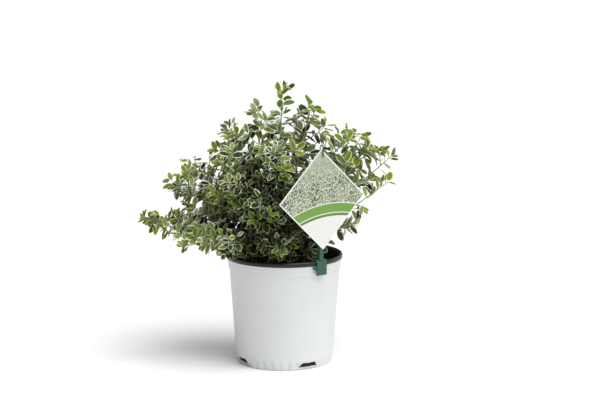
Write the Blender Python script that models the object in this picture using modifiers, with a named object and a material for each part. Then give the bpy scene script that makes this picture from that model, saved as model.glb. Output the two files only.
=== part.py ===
"""Potted wintercreeper: a variegated evergreen shrub in a nursery pot, with a blank plant label.

Metres, +Z up. The pot stands on z = 0 with its axis on the Z axis, and its front is towards -Y.
Every foliage mass is one leafy spray: a leader that carries on from its bough, side shoots
at seeded stations along it, and pairs of leaves, each pair turned a quarter round from the last.
"""
import math
import random
from collections import namedtuple

import bmesh
import bpy
from mathutils import Matrix, Vector
from mathutils.bvhtree import BVHTree
from mathutils.geometry import interpolate_bezier

UP = Vector((0, 0, 1))
CLEAR = 0.0003          # air between pieces that touch on the real plant

# Pot
POT_HEIGHT = 0.2097
RIM_RADIUS = 0.1110
POT_STEPS = 48
FOOT_RADIUS = 0.0896
KNEE = (0.0936, 0.0130)         # radius and height where the foot meets the wall
COLLAR = (0.1055, 0.1810)       # radius and height where the wall meets the collar
WALL = 0.0020
FLOOR = 0.0025
LIP_DEPTH = 0.0085
LIP_BEAD = 0.0020               # how far the rolled lip stands out of the collar
NOTCH_COUNT = 4
NOTCH_ANGLE = math.radians(-60)       # first drain notch, from +X
NOTCH_WIDTH = 0.0380
NOTCH_HEIGHT = 0.0075

# Potting mix and crown
SOIL_TOP = 0.1870
SOIL_FLAT = 0.0350      # radius of the level patch that the stem stands on
CROWN = Vector((-0.0120, 0.0, SOIL_TOP + CLEAR))
CROWN_LEAN = Vector((0.08, 0.02, 1.0))
# height above the soil and radius of the short main stem, from its flare to its top
STEM_RINGS = (
    (0.000, 0.0140),
    (0.002, 0.0120),
    (0.005, 0.0104),
    (0.010, 0.0094),
    (0.018, 0.0087),
    (0.027, 0.0080),
    (0.029, 0.0068),
)
STEM_SIDES = 12
TIERS = {"low": 0.006, "mid": 0.016}    # height of the bough bases on the stem
TOP_TIER_RADIUS = 0.0042                # boughs on the stem's top stand on this circle

# Limbs
BOUGH_RADIUS = 0.0022
TIP_RADIUS = 0.0011
BOUGH_POINTS = 5
LEADER_POINTS = 6
SHOOT_POINTS = 3
SHOOT_RADIUS = 0.0013

# Leaves, larger than life because there are fewer of them
LEAF_LENGTH = 0.0430
LEAF_WIDTH = 0.0300
LEAF_THICKNESS = 0.0014
LEAF_ROOT = 0.00025     # how far from the middle of its twig a leaf's root lies
NODE_SPACING = 0.0230
LEAF_ANGLE = math.radians(56)
YOUNG_LENGTH = 0.045    # last stretch of a shoot, where leaves are small and upright
YOUNG_SIZE = 0.50
LEAF_CLEAR = 0.0007
LEAF_TRIES = (1.0, 0.75)        # sizes that a leaf tries where it has little room
LEAF_CORNERS = ((0, 0, 1), (0, 0, -1), (1, 0, 0), (-1, 0, 0), (0, 1, 0), (0, -1, 0))
SHOOT_CLEAR = 0.0065    # between the middle lines of a shoot and any other limb
SHOOT_TRIES = 9         # turns that a station on a leader tries for its shoot

# Label: a square card on its corner, held by a clip on the rim
HOLDER_ANGLE = math.radians(38.5)
CARD_YAW = math.radians(33.0)
CARD_ROLL = math.radians(1.3)
CARD_SIDE = 0.1333
CARD_THICKNESS = 0.0008
CARD_CORNER = 0.0030
CARD_HEIGHT = 0.3260
CARD_REACH = 0.1137     # from the pot's axis to the middle of the card
CLIP_WIDTH = 0.0230
CHANNEL_WIDTH = 0.0090
CHANNEL_DEPTH = 0.0072
CHANNEL_WALL = 0.0016
CHANNEL_FACE = 0.1123   # from the pot's axis to the front of the stake
CHANNEL_TOP = 0.4140
HOOK_RADIUS = 0.0012

Spray = namedtuple("Spray", "name tier exit rise tip arrive bare shoots reach seed")
# exit and rise: direction of the bough's base, degrees round from +X and up from level
# tip: end of the leader; arrive: its slope there in degrees; bare: bough's share of the length
# shoots: side shoots; reach: length of the longest of them
SPRAYS = (
    Spray("top_centre", "top", 110, 86, (-0.004, 0.000, 0.522), 88, 0.40, 4, 0.080, 1),
    Spray("top_right", "top", 25, 82, (0.050, 0.028, 0.490), 78, 0.38, 4, 0.076, 2),
    Spray("top_left", "top", 195, 80, (-0.056, -0.015, 0.484), 82, 0.38, 4, 0.076, 3),
    Spray("front_upper", "top", 285, 76, (-0.018, -0.080, 0.418), 75, 0.26, 5, 0.075, 4),
    Spray("shoulder_left", "mid", 150, 74, (-0.108, 0.036, 0.430), 66, 0.32, 5, 0.075, 5),
    Spray("shoulder_front", "mid", 228, 70, (-0.122, -0.054, 0.394), 55, 0.28, 4, 0.070, 21),
    Spray("left_upper", "mid", 202, 62, (-0.182, -0.010, 0.374), 30, 0.32, 5, 0.068, 6),
    Spray("left_outer", "mid", 176, 52, (-0.214, 0.030, 0.336), 18, 0.30, 5, 0.065, 7),
    Spray("left_long", "low", 182, 32, (-0.262, 0.005, 0.266), 8, 0.30, 5, 0.048, 8),
    Spray("left_low", "low", 209, 34, (-0.190, -0.060, 0.234), -12, 0.24, 5, 0.052, 9),
    Spray("front_left", "low", 236, 44, (-0.110, -0.120, 0.230), -24, 0.20, 5, 0.052, 10),
    Spray("front_centre", "mid", 256, 58, (-0.052, -0.168, 0.304), 12, 0.24, 5, 0.070, 11),
    Spray("front_low", "low", 278, 42, (-0.006, -0.128, 0.238), -10, 0.18, 6, 0.055, 12),
    Spray("front_right", "mid", 308, 66, (0.050, -0.052, 0.344), 62, 0.24, 5, 0.062, 13),
    Spray("right_shoulder", "mid", 8, 76, (0.098, 0.006, 0.420), 64, 0.36, 5, 0.070, 22),
    Spray("right_upper", "mid", 34, 62, (0.158, 0.050, 0.412), 40, 0.44, 4, 0.065, 14),
    Spray("right_middle", "mid", 340, 52, (0.204, 0.025, 0.392), 42, 0.66, 2, 0.045, 15),
    Spray("right_outer", "low", 6, 42, (0.196, -0.025, 0.350), 38, 0.62, 2, 0.045, 16),
    Spray("right_low", "low", 334, 36, (0.128, -0.030, 0.270), 16, 0.44, 3, 0.045, 17),
    Spray("back_left", "mid", 116, 58, (-0.095, 0.150, 0.370), 35, 0.30, 4, 0.070, 18),
    Spray("back_middle", "mid", 80, 60, (0.015, 0.172, 0.385), 35, 0.30, 4, 0.070, 19),
    Spray("back_right", "low", 50, 48, (0.115, 0.130, 0.350), 32, 0.32, 4, 0.068, 20),
)

BRANCH_GREEN = "4d4a30"
TWIG_GREEN = "6e8450"
SPRAY_GREENS = ("5f7d38", "6f8c3e", "54713a", "7c9644")


def linear(hex_colour):
    """Linear RGBA from a hex sRGB colour."""
    channels = [int(hex_colour[i:i + 2], 16) / 255 for i in (0, 2, 4)]
    return [c / 12.92 if c <= 0.04045 else ((c + 0.055) / 1.055) ** 2.4 for c in channels] + [1.0]


def make_material(name, hex_colour, roughness=0.5):
    """A plain Principled material."""
    material = bpy.data.materials.new(name)
    material.use_nodes = True
    shader = material.node_tree.nodes["Principled BSDF"]
    shader.inputs["Base Color"].default_value = linear(hex_colour)
    shader.inputs["Roughness"].default_value = roughness
    material.diffuse_color = linear(hex_colour)
    return material


def new_collection(name):
    """A collection of its own under the scene."""
    collection = bpy.data.collections.new(name)
    bpy.context.scene.collection.children.link(collection)
    return collection


def object_from_bmesh(name, bm, collection):
    """A mesh object that holds the bmesh, which is freed."""
    mesh = bpy.data.meshes.new(name)
    bm.to_mesh(mesh)
    bm.free()
    obj = bpy.data.objects.new(name, mesh)
    collection.objects.link(obj)
    return obj


def bake(obj, weld=0.0):
    """Replace an object by the plain mesh that its modifiers or its curve make of it."""
    depsgraph = bpy.context.evaluated_depsgraph_get()
    mesh = bpy.data.meshes.new_from_object(obj.evaluated_get(depsgraph))
    if weld:
        bm = bmesh.new()
        bm.from_mesh(mesh)
        bmesh.ops.remove_doubles(bm, verts=bm.verts, dist=weld)
        bmesh.ops.recalc_face_normals(bm, faces=bm.faces)
        bm.to_mesh(mesh)
        bm.free()
    name = obj.name
    world = obj.matrix_world.copy()
    collection = obj.users_collection[0]
    bpy.data.objects.remove(obj)
    mesh.name = name
    baked = bpy.data.objects.new(name, mesh)
    baked.matrix_world = world
    collection.objects.link(baked)
    return baked


def turned(name, profile, steps, collection):
    """A solid of revolution from a profile that runs down its outer side."""
    bm = bmesh.new()
    points = [bm.verts.new((radius, 0, height)) for radius, height in profile]
    for start, end in zip(points, points[1:]):
        bm.edges.new((start, end))
    obj = object_from_bmesh(name, bm, collection)
    screw = obj.modifiers.new("Screw", "SCREW")
    screw.steps = steps
    screw.render_steps = steps
    screw.use_merge_vertices = True
    screw.merge_threshold = 0.0001
    return bake(obj)


def outline_curve(name, points, thickness, collection):
    """A flat outline, filled and as thick as asked, in its own XY plane."""
    curve = bpy.data.curves.new(name, "CURVE")
    curve.dimensions = "2D"
    curve.fill_mode = "BOTH"
    curve.extrude = thickness / 2
    spline = curve.splines.new("POLY")
    spline.points.add(len(points) - 1)
    for point, (x, y) in zip(spline.points, points):
        point.co = (x, y, 0, 1)
    spline.use_cyclic_u = True
    obj = bpy.data.objects.new(name, curve)
    collection.objects.link(obj)
    return obj


def tube_curve(name, points, radii, resolution, collection):
    """A capped round tube along the points, with a radius at each of them."""
    curve = bpy.data.curves.new(name, "CURVE")
    curve.dimensions = "3D"
    curve.bevel_depth = 1.0
    curve.bevel_resolution = resolution
    curve.use_fill_caps = True
    spline = curve.splines.new("POLY")
    spline.points.add(len(points) - 1)
    for point, place, radius in zip(spline.points, points, radii):
        point.co = (*place, 1)
        point.radius = radius
    obj = bpy.data.objects.new(name, curve)
    collection.objects.link(obj)
    return obj


def fuse(obj, pieces):
    """Union the object with every object of a collection, and remove that collection."""
    union = obj.modifiers.new("Union", "BOOLEAN")
    union.operation = "UNION"
    union.operand_type = "COLLECTION"
    union.collection = pieces
    union.solver = "EXACT"
    fused = bake(obj)
    for piece in list(pieces.objects):
        bpy.data.objects.remove(piece)
    bpy.data.collections.remove(pieces)
    return fused


def inner_radius(height):
    """Radius of the pot's inner wall at a height above the foot."""
    low_radius, low = KNEE
    high_radius, high = RIM_RADIUS - LIP_BEAD - 0.0010, POT_HEIGHT - LIP_DEPTH
    return low_radius - WALL + (height - low) * (high_radius - low_radius) / (high - low)


def build_pot(collection, cutters):
    """The pot: white outside, black inside and over its rolled lip, with drain notches."""
    knee_radius, knee_height = KNEE
    collar_radius, collar_height = COLLAR
    lip_low = POT_HEIGHT - LIP_DEPTH
    lip_root = RIM_RADIUS - LIP_BEAD
    inside = [
        (0, FLOOR),
        (FOOT_RADIUS - WALL, FLOOR),
        (knee_radius - WALL, knee_height),
        (lip_root - WALL - 0.0010, lip_low),
        (RIM_RADIUS - 0.0046, POT_HEIGHT - 0.0022),
    ]
    lip = [
        (RIM_RADIUS - 0.0038, POT_HEIGHT - 0.0005),
        (RIM_RADIUS - 0.0023, POT_HEIGHT),
        (RIM_RADIUS - 0.0008, POT_HEIGHT - 0.0009),
        (RIM_RADIUS, POT_HEIGHT - 0.0029),
        (RIM_RADIUS, lip_low + 0.0006),
    ]
    outside = [
        (lip_root, lip_low),
        (lip_root - 0.0004, lip_low - 0.0080),
        (lip_root - 0.0012, lip_low - 0.0092),
        (collar_radius + 0.0018, collar_height + 0.0018),
        (collar_radius, collar_height),
        (knee_radius, knee_height),
        (FOOT_RADIUS, 0),
        (0, 0),
    ]
    pot = turned("pot", inside + lip + outside, POT_STEPS, collection)
    notch = bmesh.new()
    for i in range(NOTCH_COUNT):
        turn = Matrix.Rotation(NOTCH_ANGLE + math.tau * i / NOTCH_COUNT, 4, "Z")
        place = turn @ Matrix.Translation((FOOT_RADIUS + 0.004, 0, NOTCH_HEIGHT / 2 - 0.001))
        made = bmesh.ops.create_cube(notch, size=1)
        for vertex in made["verts"]:
            taper = 0.72 if vertex.co.z > 0 else 1.0
            vertex.co.x *= 0.0160
            vertex.co.y *= NOTCH_WIDTH * taper
            vertex.co.z *= NOTCH_HEIGHT + 0.002
            vertex.co = place @ vertex.co
    cutter = object_from_bmesh("notch_cutter", notch, cutters)
    cutter.hide_render = True
    cutter.display_type = "WIRE"
    cut = pot.modifiers.new("Drain notches", "BOOLEAN")
    cut.object = cutter
    cut.solver = "EXACT"
    pot.data.materials.append(make_material("Pot white", "dfe3e2", 0.45))
    pot.data.materials.append(make_material("Pot black", "1c1d1d", 0.5))
    for face in pot.data.polygons:
        middle = face.center
        radius = math.hypot(middle.x, middle.y)
        if middle.z > lip_low or (middle.z > FLOOR * 0.9 and radius < inner_radius(middle.z) + WALL / 2):
            face.material_index = 1
    pot.data.shade_smooth()
    pot.data.set_sharp_from_angle(angle=math.radians(30))
    return pot


def build_potting_mix(collection):
    """The potting mix that fills the pot, level under the stem and lumpy towards the wall."""
    gap = CLEAR + 0.0002
    edge = SOIL_TOP - 0.0020
    profile = [
        (0, SOIL_TOP),
        (SOIL_FLAT, SOIL_TOP),
        (0.058, SOIL_TOP - 0.0006),
        (0.080, SOIL_TOP - 0.0012),
        (inner_radius(edge) - gap, edge),
        (inner_radius(KNEE[1]) - gap, KNEE[1]),
        (FOOT_RADIUS - WALL - gap, FLOOR + CLEAR),
        (0, FLOOR + CLEAR),
    ]
    mix = turned("potting_mix", profile, POT_STEPS // 2, collection)
    rng = random.Random(31)
    for vertex in mix.data.vertices:
        radius = math.hypot(vertex.co.x, vertex.co.y)
        if SOIL_FLAT + 0.005 < radius < 0.090 and vertex.co.z > edge:
            vertex.co.z += rng.uniform(-0.0012, 0.0010)
    mix.data.materials.append(make_material("Potting mix", "2c231b", 0.95))
    return mix


def stem_point(height):
    """A point on the main stem's axis, at a height above its foot."""
    return CROWN + CROWN_LEAN * height


def stem_radius(height):
    """Radius of the main stem at a height above its foot."""
    for (low, low_radius), (high, high_radius) in zip(STEM_RINGS, STEM_RINGS[1:]):
        if height <= high:
            return low_radius + (high_radius - low_radius) * (height - low) / (high - low)
    return STEM_RINGS[-1][1]


def capped_tube(places, radii, frames, sides):
    """A bmesh tube with a ring of corners round each place, capped at both ends."""
    bm = bmesh.new()
    ring = bmesh.ops.create_circle(bm, cap_ends=True, segments=sides, radius=1)["verts"]
    shape = [vertex.co.copy() for vertex in ring]
    for i, (place, radius, frame) in enumerate(zip(places, radii, frames)):
        if i:
            rim = [edge for edge in bm.edges if all(end in ring for end in edge.verts)]
            grown = bmesh.ops.extrude_edge_only(bm, edges=rim)["geom"]
            new = {item for item in grown if isinstance(item, bmesh.types.BMVert)}
            ring = [next(edge.other_vert(old) for edge in old.link_edges
                         if edge.other_vert(old) in new) for old in ring]
        for vertex, corner in zip(ring, shape):
            vertex.co = place + frame @ (corner * radius)
    bm.faces.new(ring)
    bmesh.ops.recalc_face_normals(bm, faces=bm.faces)
    return bm


def build_main_stem(collection):
    """The short leaning stem that the foliage hides, flared and cut flat at the soil."""
    places = [stem_point(height) for height, radius in STEM_RINGS]
    radii = [radius for height, radius in STEM_RINGS]
    level = [Matrix.Identity(3)] * len(places)
    stem = object_from_bmesh("main_stem", capped_tube(places, radii, level, STEM_SIDES), collection)
    stem.data.materials.append(make_material("Stem bark", BRANCH_GREEN, 0.8))
    return stem


def limb_path(spray):
    """Points every few millimetres from the stem's surface to the end of the leader."""
    turn = math.radians(spray.exit)
    rise = math.radians(spray.rise)
    level = Vector((math.cos(turn), math.sin(turn), 0))
    if spray.tier == "top":
        top = STEM_RINGS[-1][0]
        base = stem_point(top) + level * TOP_TIER_RADIUS + UP * CLEAR
        start = base + UP * 0.0015
    else:
        height = TIERS[spray.tier]
        surface = stem_radius(height - BOUGH_RADIUS) + CROWN_LEAN.x * BOUGH_RADIUS
        base = stem_point(height) + level * (surface + CLEAR)
        start = base + level * 0.0015
    tip = Vector(spray.tip)
    reach = (tip - start).length
    outward = Vector((tip.x - start.x, tip.y - start.y, 0)).normalized()
    slope = math.radians(spray.arrive)
    leave = level * math.cos(rise) + UP * math.sin(rise)
    arrive = outward * math.cos(slope) + UP * math.sin(slope)
    curve = interpolate_bezier(
        start, start + leave * reach * 0.36, tip - arrive * reach * 0.34, tip, 61)
    return [base] + curve


def resample(path, first, last, count):
    """Points at equal steps between two fractions of a path's length."""
    lengths = [0.0]
    for start, end in zip(path, path[1:]):
        lengths.append(lengths[-1] + (end - start).length)
    points = []
    for i in range(count):
        wanted = lengths[-1] * (first + (last - first) * i / (count - 1))
        k = next((k for k in range(1, len(lengths)) if lengths[k] >= wanted), len(lengths) - 1)
        share = (wanted - lengths[k - 1]) / max(lengths[k] - lengths[k - 1], 1e-9)
        points.append(path[k - 1].lerp(path[k], min(max(share, 0), 1)))
    return points


def path_length(path):
    """Length of a path."""
    return sum((end - start).length for start, end in zip(path, path[1:]))


def taper(start, end, count):
    """Radii that shrink evenly."""
    return [start + (end - start) * i / (count - 1) for i in range(count)]


def side_of(direction, turn):
    """A unit vector square to a direction, turned about it."""
    first = direction.cross(UP)
    if first.length < 0.1:
        first = direction.cross(Vector((0, 1, 0)))
    return Matrix.Rotation(turn, 3, direction) @ first.normalized()


def shoot_path(leader, fraction, turn, length):
    """A side shoot: it leaves the leader at an angle and bends up towards the light."""
    point, ahead = resample(leader, fraction, min(fraction + 0.02, 1), 2)
    direction = (ahead - point).normalized()
    leave = (direction * 0.55 + side_of(direction, turn) * 0.85).normalized()
    if leave.z < -0.15:
        leave.z *= -0.4
        leave.normalize()
    outward = Vector((point.x, point.y, 0)).normalized()
    lift = (UP * 0.85 + outward * 0.25 + leave * 0.4).normalized()
    bend = point + leave * length * 0.5
    end = bend + (leave * 0.45 + lift * 0.75).normalized() * length * 0.5
    return interpolate_bezier(point, point + leave * length * 0.3, bend, end, SHOOT_POINTS)


def side_shoots(spray, leaders, taken):
    """Seeded side shoots of one leader, each turned to where it has room."""
    rng = random.Random(spray.seed)
    leader = leaders[spray.name]
    turn = rng.uniform(0, math.tau)
    shoots = []
    for i in range(spray.shoots):
        fraction = 0.04 + 0.80 * (i + rng.uniform(0.1, 0.7)) / spray.shoots
        length = spray.reach * (1.05 - 0.5 * fraction) * rng.uniform(0.8, 1.1)
        for attempt in range(SHOOT_TRIES):
            turn += math.radians(137.5) + rng.uniform(-0.3, 0.3)
            path = shoot_path(leader, fraction, turn, length * (1 - 0.05 * attempt))
            own_line = owner(path[-1], leaders) == spray.name
            if own_line and free_to_stand(path) and has_room(path, taken):
                shoots.append(path)
                taken.append(resample(path, 0.15, 1, 8))
                break
    return shoots


def has_room(path, taken):
    """Whether a shoot stays clear of every limb whose middle line is given."""
    points = resample(path, 0.15, 1, 8)
    near = (min((a - b).length_squared for a in points for b in line) for line in taken)
    return all(distance > SHOOT_CLEAR ** 2 for distance in near)


def leaf_matrix(point, direction, side, size, rng, grow=0.0):
    """Place of a unit octahedron as a leaf with its root deep in its twig."""
    angle = LEAF_ANGLE * (0.75 + 0.25 * size) + rng.uniform(-0.16, 0.16)
    blade = (direction * math.cos(angle) + side * math.sin(angle)).normalized()
    outward = Vector((point.x, point.y, 0)).normalized()
    face = direction * math.sin(angle) - side * math.cos(angle)
    face += (UP * 0.8 + outward * 0.4) * 0.7
    face += Vector([rng.uniform(-0.25, 0.25) for axis in range(3)])
    face = (face - blade * face.dot(blade)).normalized()
    width = blade.cross(face).normalized()
    length = LEAF_LENGTH * size
    half = (
        width * (LEAF_WIDTH * size + grow) / 2,
        face * (LEAF_THICKNESS + grow) / 2,
        blade * (length + grow) / 2,
    )
    middle = point + blade * (length / 2 + LEAF_ROOT)
    columns = Matrix((half[0], half[1], half[2])).transposed().to_4x4()
    return Matrix.Translation(middle) @ columns


def leaf_places(path, first, rng):
    """Point, direction, side and size of each leaf along a shoot, node by node."""
    length = path_length(path)
    nodes = max(int(length * (1 - first) / NODE_SPACING), 1)
    turn = rng.uniform(0, math.tau)
    places = []
    for i in range(nodes + 1):
        fraction = first + (1 - first) * i / nodes * 0.97
        point, ahead = resample(path, fraction, min(fraction + 0.03, 1.0), 2)
        direction = (ahead - point).normalized()
        to_tip = length * (1 - fraction)
        size = YOUNG_SIZE + (1 - YOUNG_SIZE) * min(to_tip / YOUNG_LENGTH, 1)
        turn += math.pi / 2 + rng.uniform(-0.2, 0.2)
        side = side_of(direction, turn)
        for sign in (1, -1):
            places.append((i, point, direction, side * sign, size * rng.uniform(0.88, 1.08)))
    return places


def octahedron(matrix):
    """A bmesh with one leaf in it."""
    bm = bmesh.new()
    bmesh.ops.create_uvsphere(bm, u_segments=4, v_segments=2, radius=1, matrix=matrix)
    return bm


def tree_of(bm):
    """A search tree of a bmesh, which is freed."""
    tree = BVHTree.FromBMesh(bm)
    bm.free()
    return tree


def twig_bmesh(points, radii):
    """A three-sided tapering twig, capped at both ends."""
    directions = [(points[1] - points[0]).normalized()]
    for before, after in zip(points, points[2:]):
        directions.append((after - before).normalized())
    directions.append((points[-1] - points[-2]).normalized())
    frame = directions[0].to_track_quat("Z", "Y").to_matrix()
    frames = []
    for direction in directions:
        frame = frame.col[2].rotation_difference(direction).to_matrix() @ frame
        frames.append(frame)
    return capped_tube(points, radii, frames, 3)


def zone(point):
    """Which free space round the pot a point lies in, if any."""
    radius = math.hypot(point.x, point.y)
    if point.z > POT_HEIGHT + 0.0020:
        return "above"
    if radius < inner_radius(SOIL_TOP) - 0.0030 and point.z > SOIL_TOP + 0.0025:
        return "inside"
    if radius > RIM_RADIUS + 0.0030 and point.z > 0.0:
        return "outside"
    return None


def clear_of_label(point):
    """Whether a point is out of the space in front of the card and round its stake."""
    local = Matrix.Rotation(-HOLDER_ANGLE, 3, "Z") @ point
    reach = -local.y
    half = CARD_SIDE / math.sqrt(2) + 0.006
    over_card = abs(local.x) + abs(local.z - CARD_HEIGHT) < half
    if over_card and reach > CHANNEL_FACE - 0.014:
        return False
    near_stake = abs(local.x) < CLIP_WIDTH / 2 + 0.008
    return not (near_stake and reach > CHANNEL_FACE - CHANNEL_DEPTH - 0.006)


def free_to_stand(points):
    """Whether a leaf or shoot with these corners keeps clear of the pot, the mix and the label."""
    zones = {zone(point) for point in points}
    return len(zones) == 1 and None not in zones and all(clear_of_label(point) for point in points)


def owner(point, leaders):
    """Name of the spray whose leader passes nearest to a point."""
    return min(leaders, key=lambda name: min((p - point).length_squared for p in leaders[name]))


def overlaps(tree, others):
    """Whether a search tree meets any of the others."""
    return any(tree.overlap(other) for other in others)


def bough_radii(spray):
    """Radii of a bough, and of the leader that carries on from it."""
    joint = BOUGH_RADIUS + (TIP_RADIUS - BOUGH_RADIUS) * spray.bare
    return taper(BOUGH_RADIUS, joint, BOUGH_POINTS), taper(joint, TIP_RADIUS, LEADER_POINTS)


def build_bough(spray, path, collection, bark):
    """The bare lower part of a limb, from the main stem to its foliage."""
    points = resample(path, 0, spray.bare, BOUGH_POINTS)
    points.insert(1, path[1])
    radii = bough_radii(spray)[0]
    bough = tube_curve("bough_" + spray.name, points, [radii[0]] + radii, 1, collection)
    bough = bake(bough, weld=0.00005)
    bough.data.materials.append(bark)
    return bough


def build_foliage(spray, leader, shoots, leaves, collection, material):
    """One foliage mass: the leader with its side shoots and leaves fused on."""
    name = "foliage_" + spray.name
    mass = object_from_bmesh(name, twig_bmesh(leader, bough_radii(spray)[1]), collection)
    pieces = new_collection("Pieces of " + name)
    for shoot in shoots:
        radii = taper(SHOOT_RADIUS, TIP_RADIUS, len(shoot))
        object_from_bmesh("shoot", twig_bmesh(shoot, radii), pieces)
    for matrix in leaves:
        object_from_bmesh("leaf", octahedron(matrix), pieces)
    mass = fuse(mass, pieces)
    mass.data.materials.append(material)
    return mass


def grow(collection):
    """Grow every limb, then let each spray put out the shoots and leaves that have room."""
    bark = make_material("Bough bark", BRANCH_GREEN, 0.75)
    paths = {spray.name: limb_path(spray) for spray in SPRAYS}
    leaders = {}
    limbs = {}
    lines = {}
    for spray in SPRAYS:
        path = paths[spray.name]
        gap = CLEAR / path_length(path)
        leaders[spray.name] = resample(path, spray.bare + gap, 1, LEADER_POINTS)
        lines[spray.name] = resample(path, 0, 1, 40)
        whole = resample(path, 0.03, 1, 14)
        limbs[spray.name] = tree_of(twig_bmesh(whole, taper(0.0040, 0.0024, 14)))
        build_bough(spray, path, collection, bark)

    shoots = {}
    shoot_lines = []
    for spray in SPRAYS:
        others = [line for name, line in lines.items() if name != spray.name]
        taken = others + shoot_lines
        paths_kept = side_shoots(spray, leaders, taken)
        shoot_lines = taken[len(others):]
        shoots[spray.name] = [
            (path, tree_of(twig_bmesh(path, taper(0.0026, 0.0022, len(path))))) for path in paths_kept]

    leaves = {spray.name: [] for spray in SPRAYS}
    for spray in SPRAYS:
        own = spray.name
        rng = random.Random(spray.seed + 100)
        fences = [tree for name, tree in limbs.items() if name != own]
        for name in shoots:
            if name != own:
                fences += [tree for path, tree in shoots[name]]
                fences += [tree for matrix, tree, node in leaves[name]]
        stalks = [(leaders[own], 0.06)] + [(path, 0.30) for path, tree in shoots[own]]
        for k, (path, first) in enumerate(stalks):
            for i, point, direction, side, size in leaf_places(path, first, rng):
                mates = [other for m, other, node in leaves[own] if node != (k, i)]
                state = rng.getstate()
                for shrink in LEAF_TRIES:
                    rng.setstate(state)
                    matrix = leaf_matrix(point, direction, side, size * shrink, rng)
                    rng.setstate(state)
                    wide = leaf_matrix(point, direction, side, size * shrink, rng, 2 * LEAF_CLEAR)
                    corners = [matrix @ Vector(corner) for corner in LEAF_CORNERS]
                    if not free_to_stand(corners) or owner(corners[0], leaders) != own:
                        continue
                    tree = tree_of(octahedron(wide))
                    if not overlaps(tree, fences) and not overlaps(tree, mates):
                        leaves[own].append((matrix, tree, (k, i)))
                        break

    for n, spray in enumerate(SPRAYS):
        own = spray.name
        green = make_material("Foliage " + own, SPRAY_GREENS[n % len(SPRAY_GREENS)], 0.55)
        matrices = [matrix for matrix, tree, node in leaves[own]]
        paths_kept = [path for path, tree in shoots[own]]
        mass = build_foliage(spray, leaders[own], paths_kept, matrices, collection, green)
        print(own, len(paths_kept), "shoots", len(matrices), "leaves", len(mass.data.polygons), "faces")


def rounded_square(side, radius, arc_points=3):
    """Corners of a square with rounded corners, standing on one of them."""
    points = []
    inset = side / 2 - radius
    for quarter in range(4):
        middle = Matrix.Rotation(quarter * math.pi / 2, 2) @ Vector((inset, inset))
        for i in range(arc_points):
            angle = quarter * math.pi / 2 + math.pi / 2 * i / (arc_points - 1)
            points.append(middle + Vector((math.cos(angle), math.sin(angle))) * radius)
    turn = Matrix.Rotation(math.pi / 4, 2)
    return [turn @ point for point in points]


def build_label_card(collection):
    """The thin square card, on its corner and facing out over the rim."""
    card = outline_curve("label_card", rounded_square(CARD_SIDE, CARD_CORNER), CARD_THICKNESS, collection)
    place = Matrix.Rotation(HOLDER_ANGLE, 4, "Z") @ Matrix.Translation((0, -CARD_REACH, CARD_HEIGHT))
    turn = Matrix.Rotation(CARD_YAW - HOLDER_ANGLE, 4, "Z")
    upright = Matrix.Rotation(math.pi / 2, 4, "X")
    card.matrix_world = place @ turn @ upright @ Matrix.Rotation(CARD_ROLL, 4, "Z")
    bpy.context.view_layer.update()
    card = bake(card, weld=0.00005)
    card.data.materials.append(make_material("Label card", "e9ece6", 0.4))
    return card


def build_label_holder(collection):
    """Clip over the rim, channel-shaped stake and the hook that holds the card."""
    turn = Matrix.Rotation(HOLDER_ANGLE, 4, "Z")
    top = POT_HEIGHT + CLEAR
    outer = RIM_RADIUS + 0.0026
    leg = RIM_RADIUS - 0.0080
    plate = 0.0022
    section = (
        (-outer, 0.1835),
        (-outer, top - 0.0018),
        (-outer + 0.0036, top + plate),
        (-leg + 0.0020, top + plate),
        (-leg + 0.0020, SOIL_TOP + 0.0025),
        (-leg, SOIL_TOP + 0.0025),
        (-leg, top),
        (-outer + plate + 0.0010, top),
        (-outer + plate, top - 0.0010),
        (-outer + plate, 0.1835),
    )
    on_side = Matrix.Rotation(math.pi / 2, 4, "Z") @ Matrix.Rotation(math.pi / 2, 4, "X")
    clip = outline_curve("label_holder", section, CLIP_WIDTH, collection)
    clip.matrix_world = turn @ on_side
    pieces = new_collection("Pieces of label_holder")

    half = CHANNEL_WIDTH / 2
    front = -CHANNEL_FACE
    back = front + CHANNEL_DEPTH
    channel = (
        (-half, front), (half, front), (half, back), (half - CHANNEL_WALL, back),
        (half - CHANNEL_WALL, front + CHANNEL_WALL), (-half + CHANNEL_WALL, front + CHANNEL_WALL),
        (-half + CHANNEL_WALL, back), (-half, back),
    )
    foot = top + plate - 0.0005
    stake = outline_curve("stake", channel, CHANNEL_TOP - foot, pieces)
    stake.matrix_world = turn @ Matrix.Translation((0, 0, (CHANNEL_TOP + foot) / 2))

    wing_outline = ((-0.0200, 0.2004), (-0.0200, 0.1968), (-0.0135, 0.1925), (-0.0105, 0.1925),
                    (-0.0105, 0.2004))
    wing = outline_curve("wing", wing_outline, 0.0016, pieces)
    upright = Matrix.Rotation(math.pi / 2, 4, "X")
    wing.matrix_world = turn @ Matrix.Translation((0, -outer + 0.0021, 0)) @ upright

    loop = 0.0046
    middle = Vector((0, -0.1116, 0.4222))
    route = [Vector((0, front + CHANNEL_WALL / 2, CHANNEL_TOP - 0.012))]
    for i in range(7):
        angle = math.pi * i / 6
        route.append(middle + Vector((0, math.cos(angle), math.sin(angle))) * loop)
    route.append(Vector((0, middle.y - loop, 0.4045)))
    hook = tube_curve("hook", route, [HOOK_RADIUS] * len(route), 1, pieces)
    hook.matrix_world = turn

    bpy.context.view_layer.update()
    clip = bake(clip, weld=0.00005)
    for piece in list(pieces.objects):
        bake(piece, weld=0.00005)
    bpy.context.view_layer.update()
    holder = fuse(clip, pieces)
    holder.data.materials.append(make_material("Label holder", "2f6148", 0.45))
    return holder


def main():
    for obj in list(bpy.data.objects):
        bpy.data.objects.remove(obj)
    parts = new_collection("Potted wintercreeper")
    cutters = new_collection("Cutters")
    build_pot(parts, cutters)
    build_potting_mix(parts)
    build_main_stem(parts)
    grow(parts)
    build_label_card(parts)
    build_label_holder(parts)


main()
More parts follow.
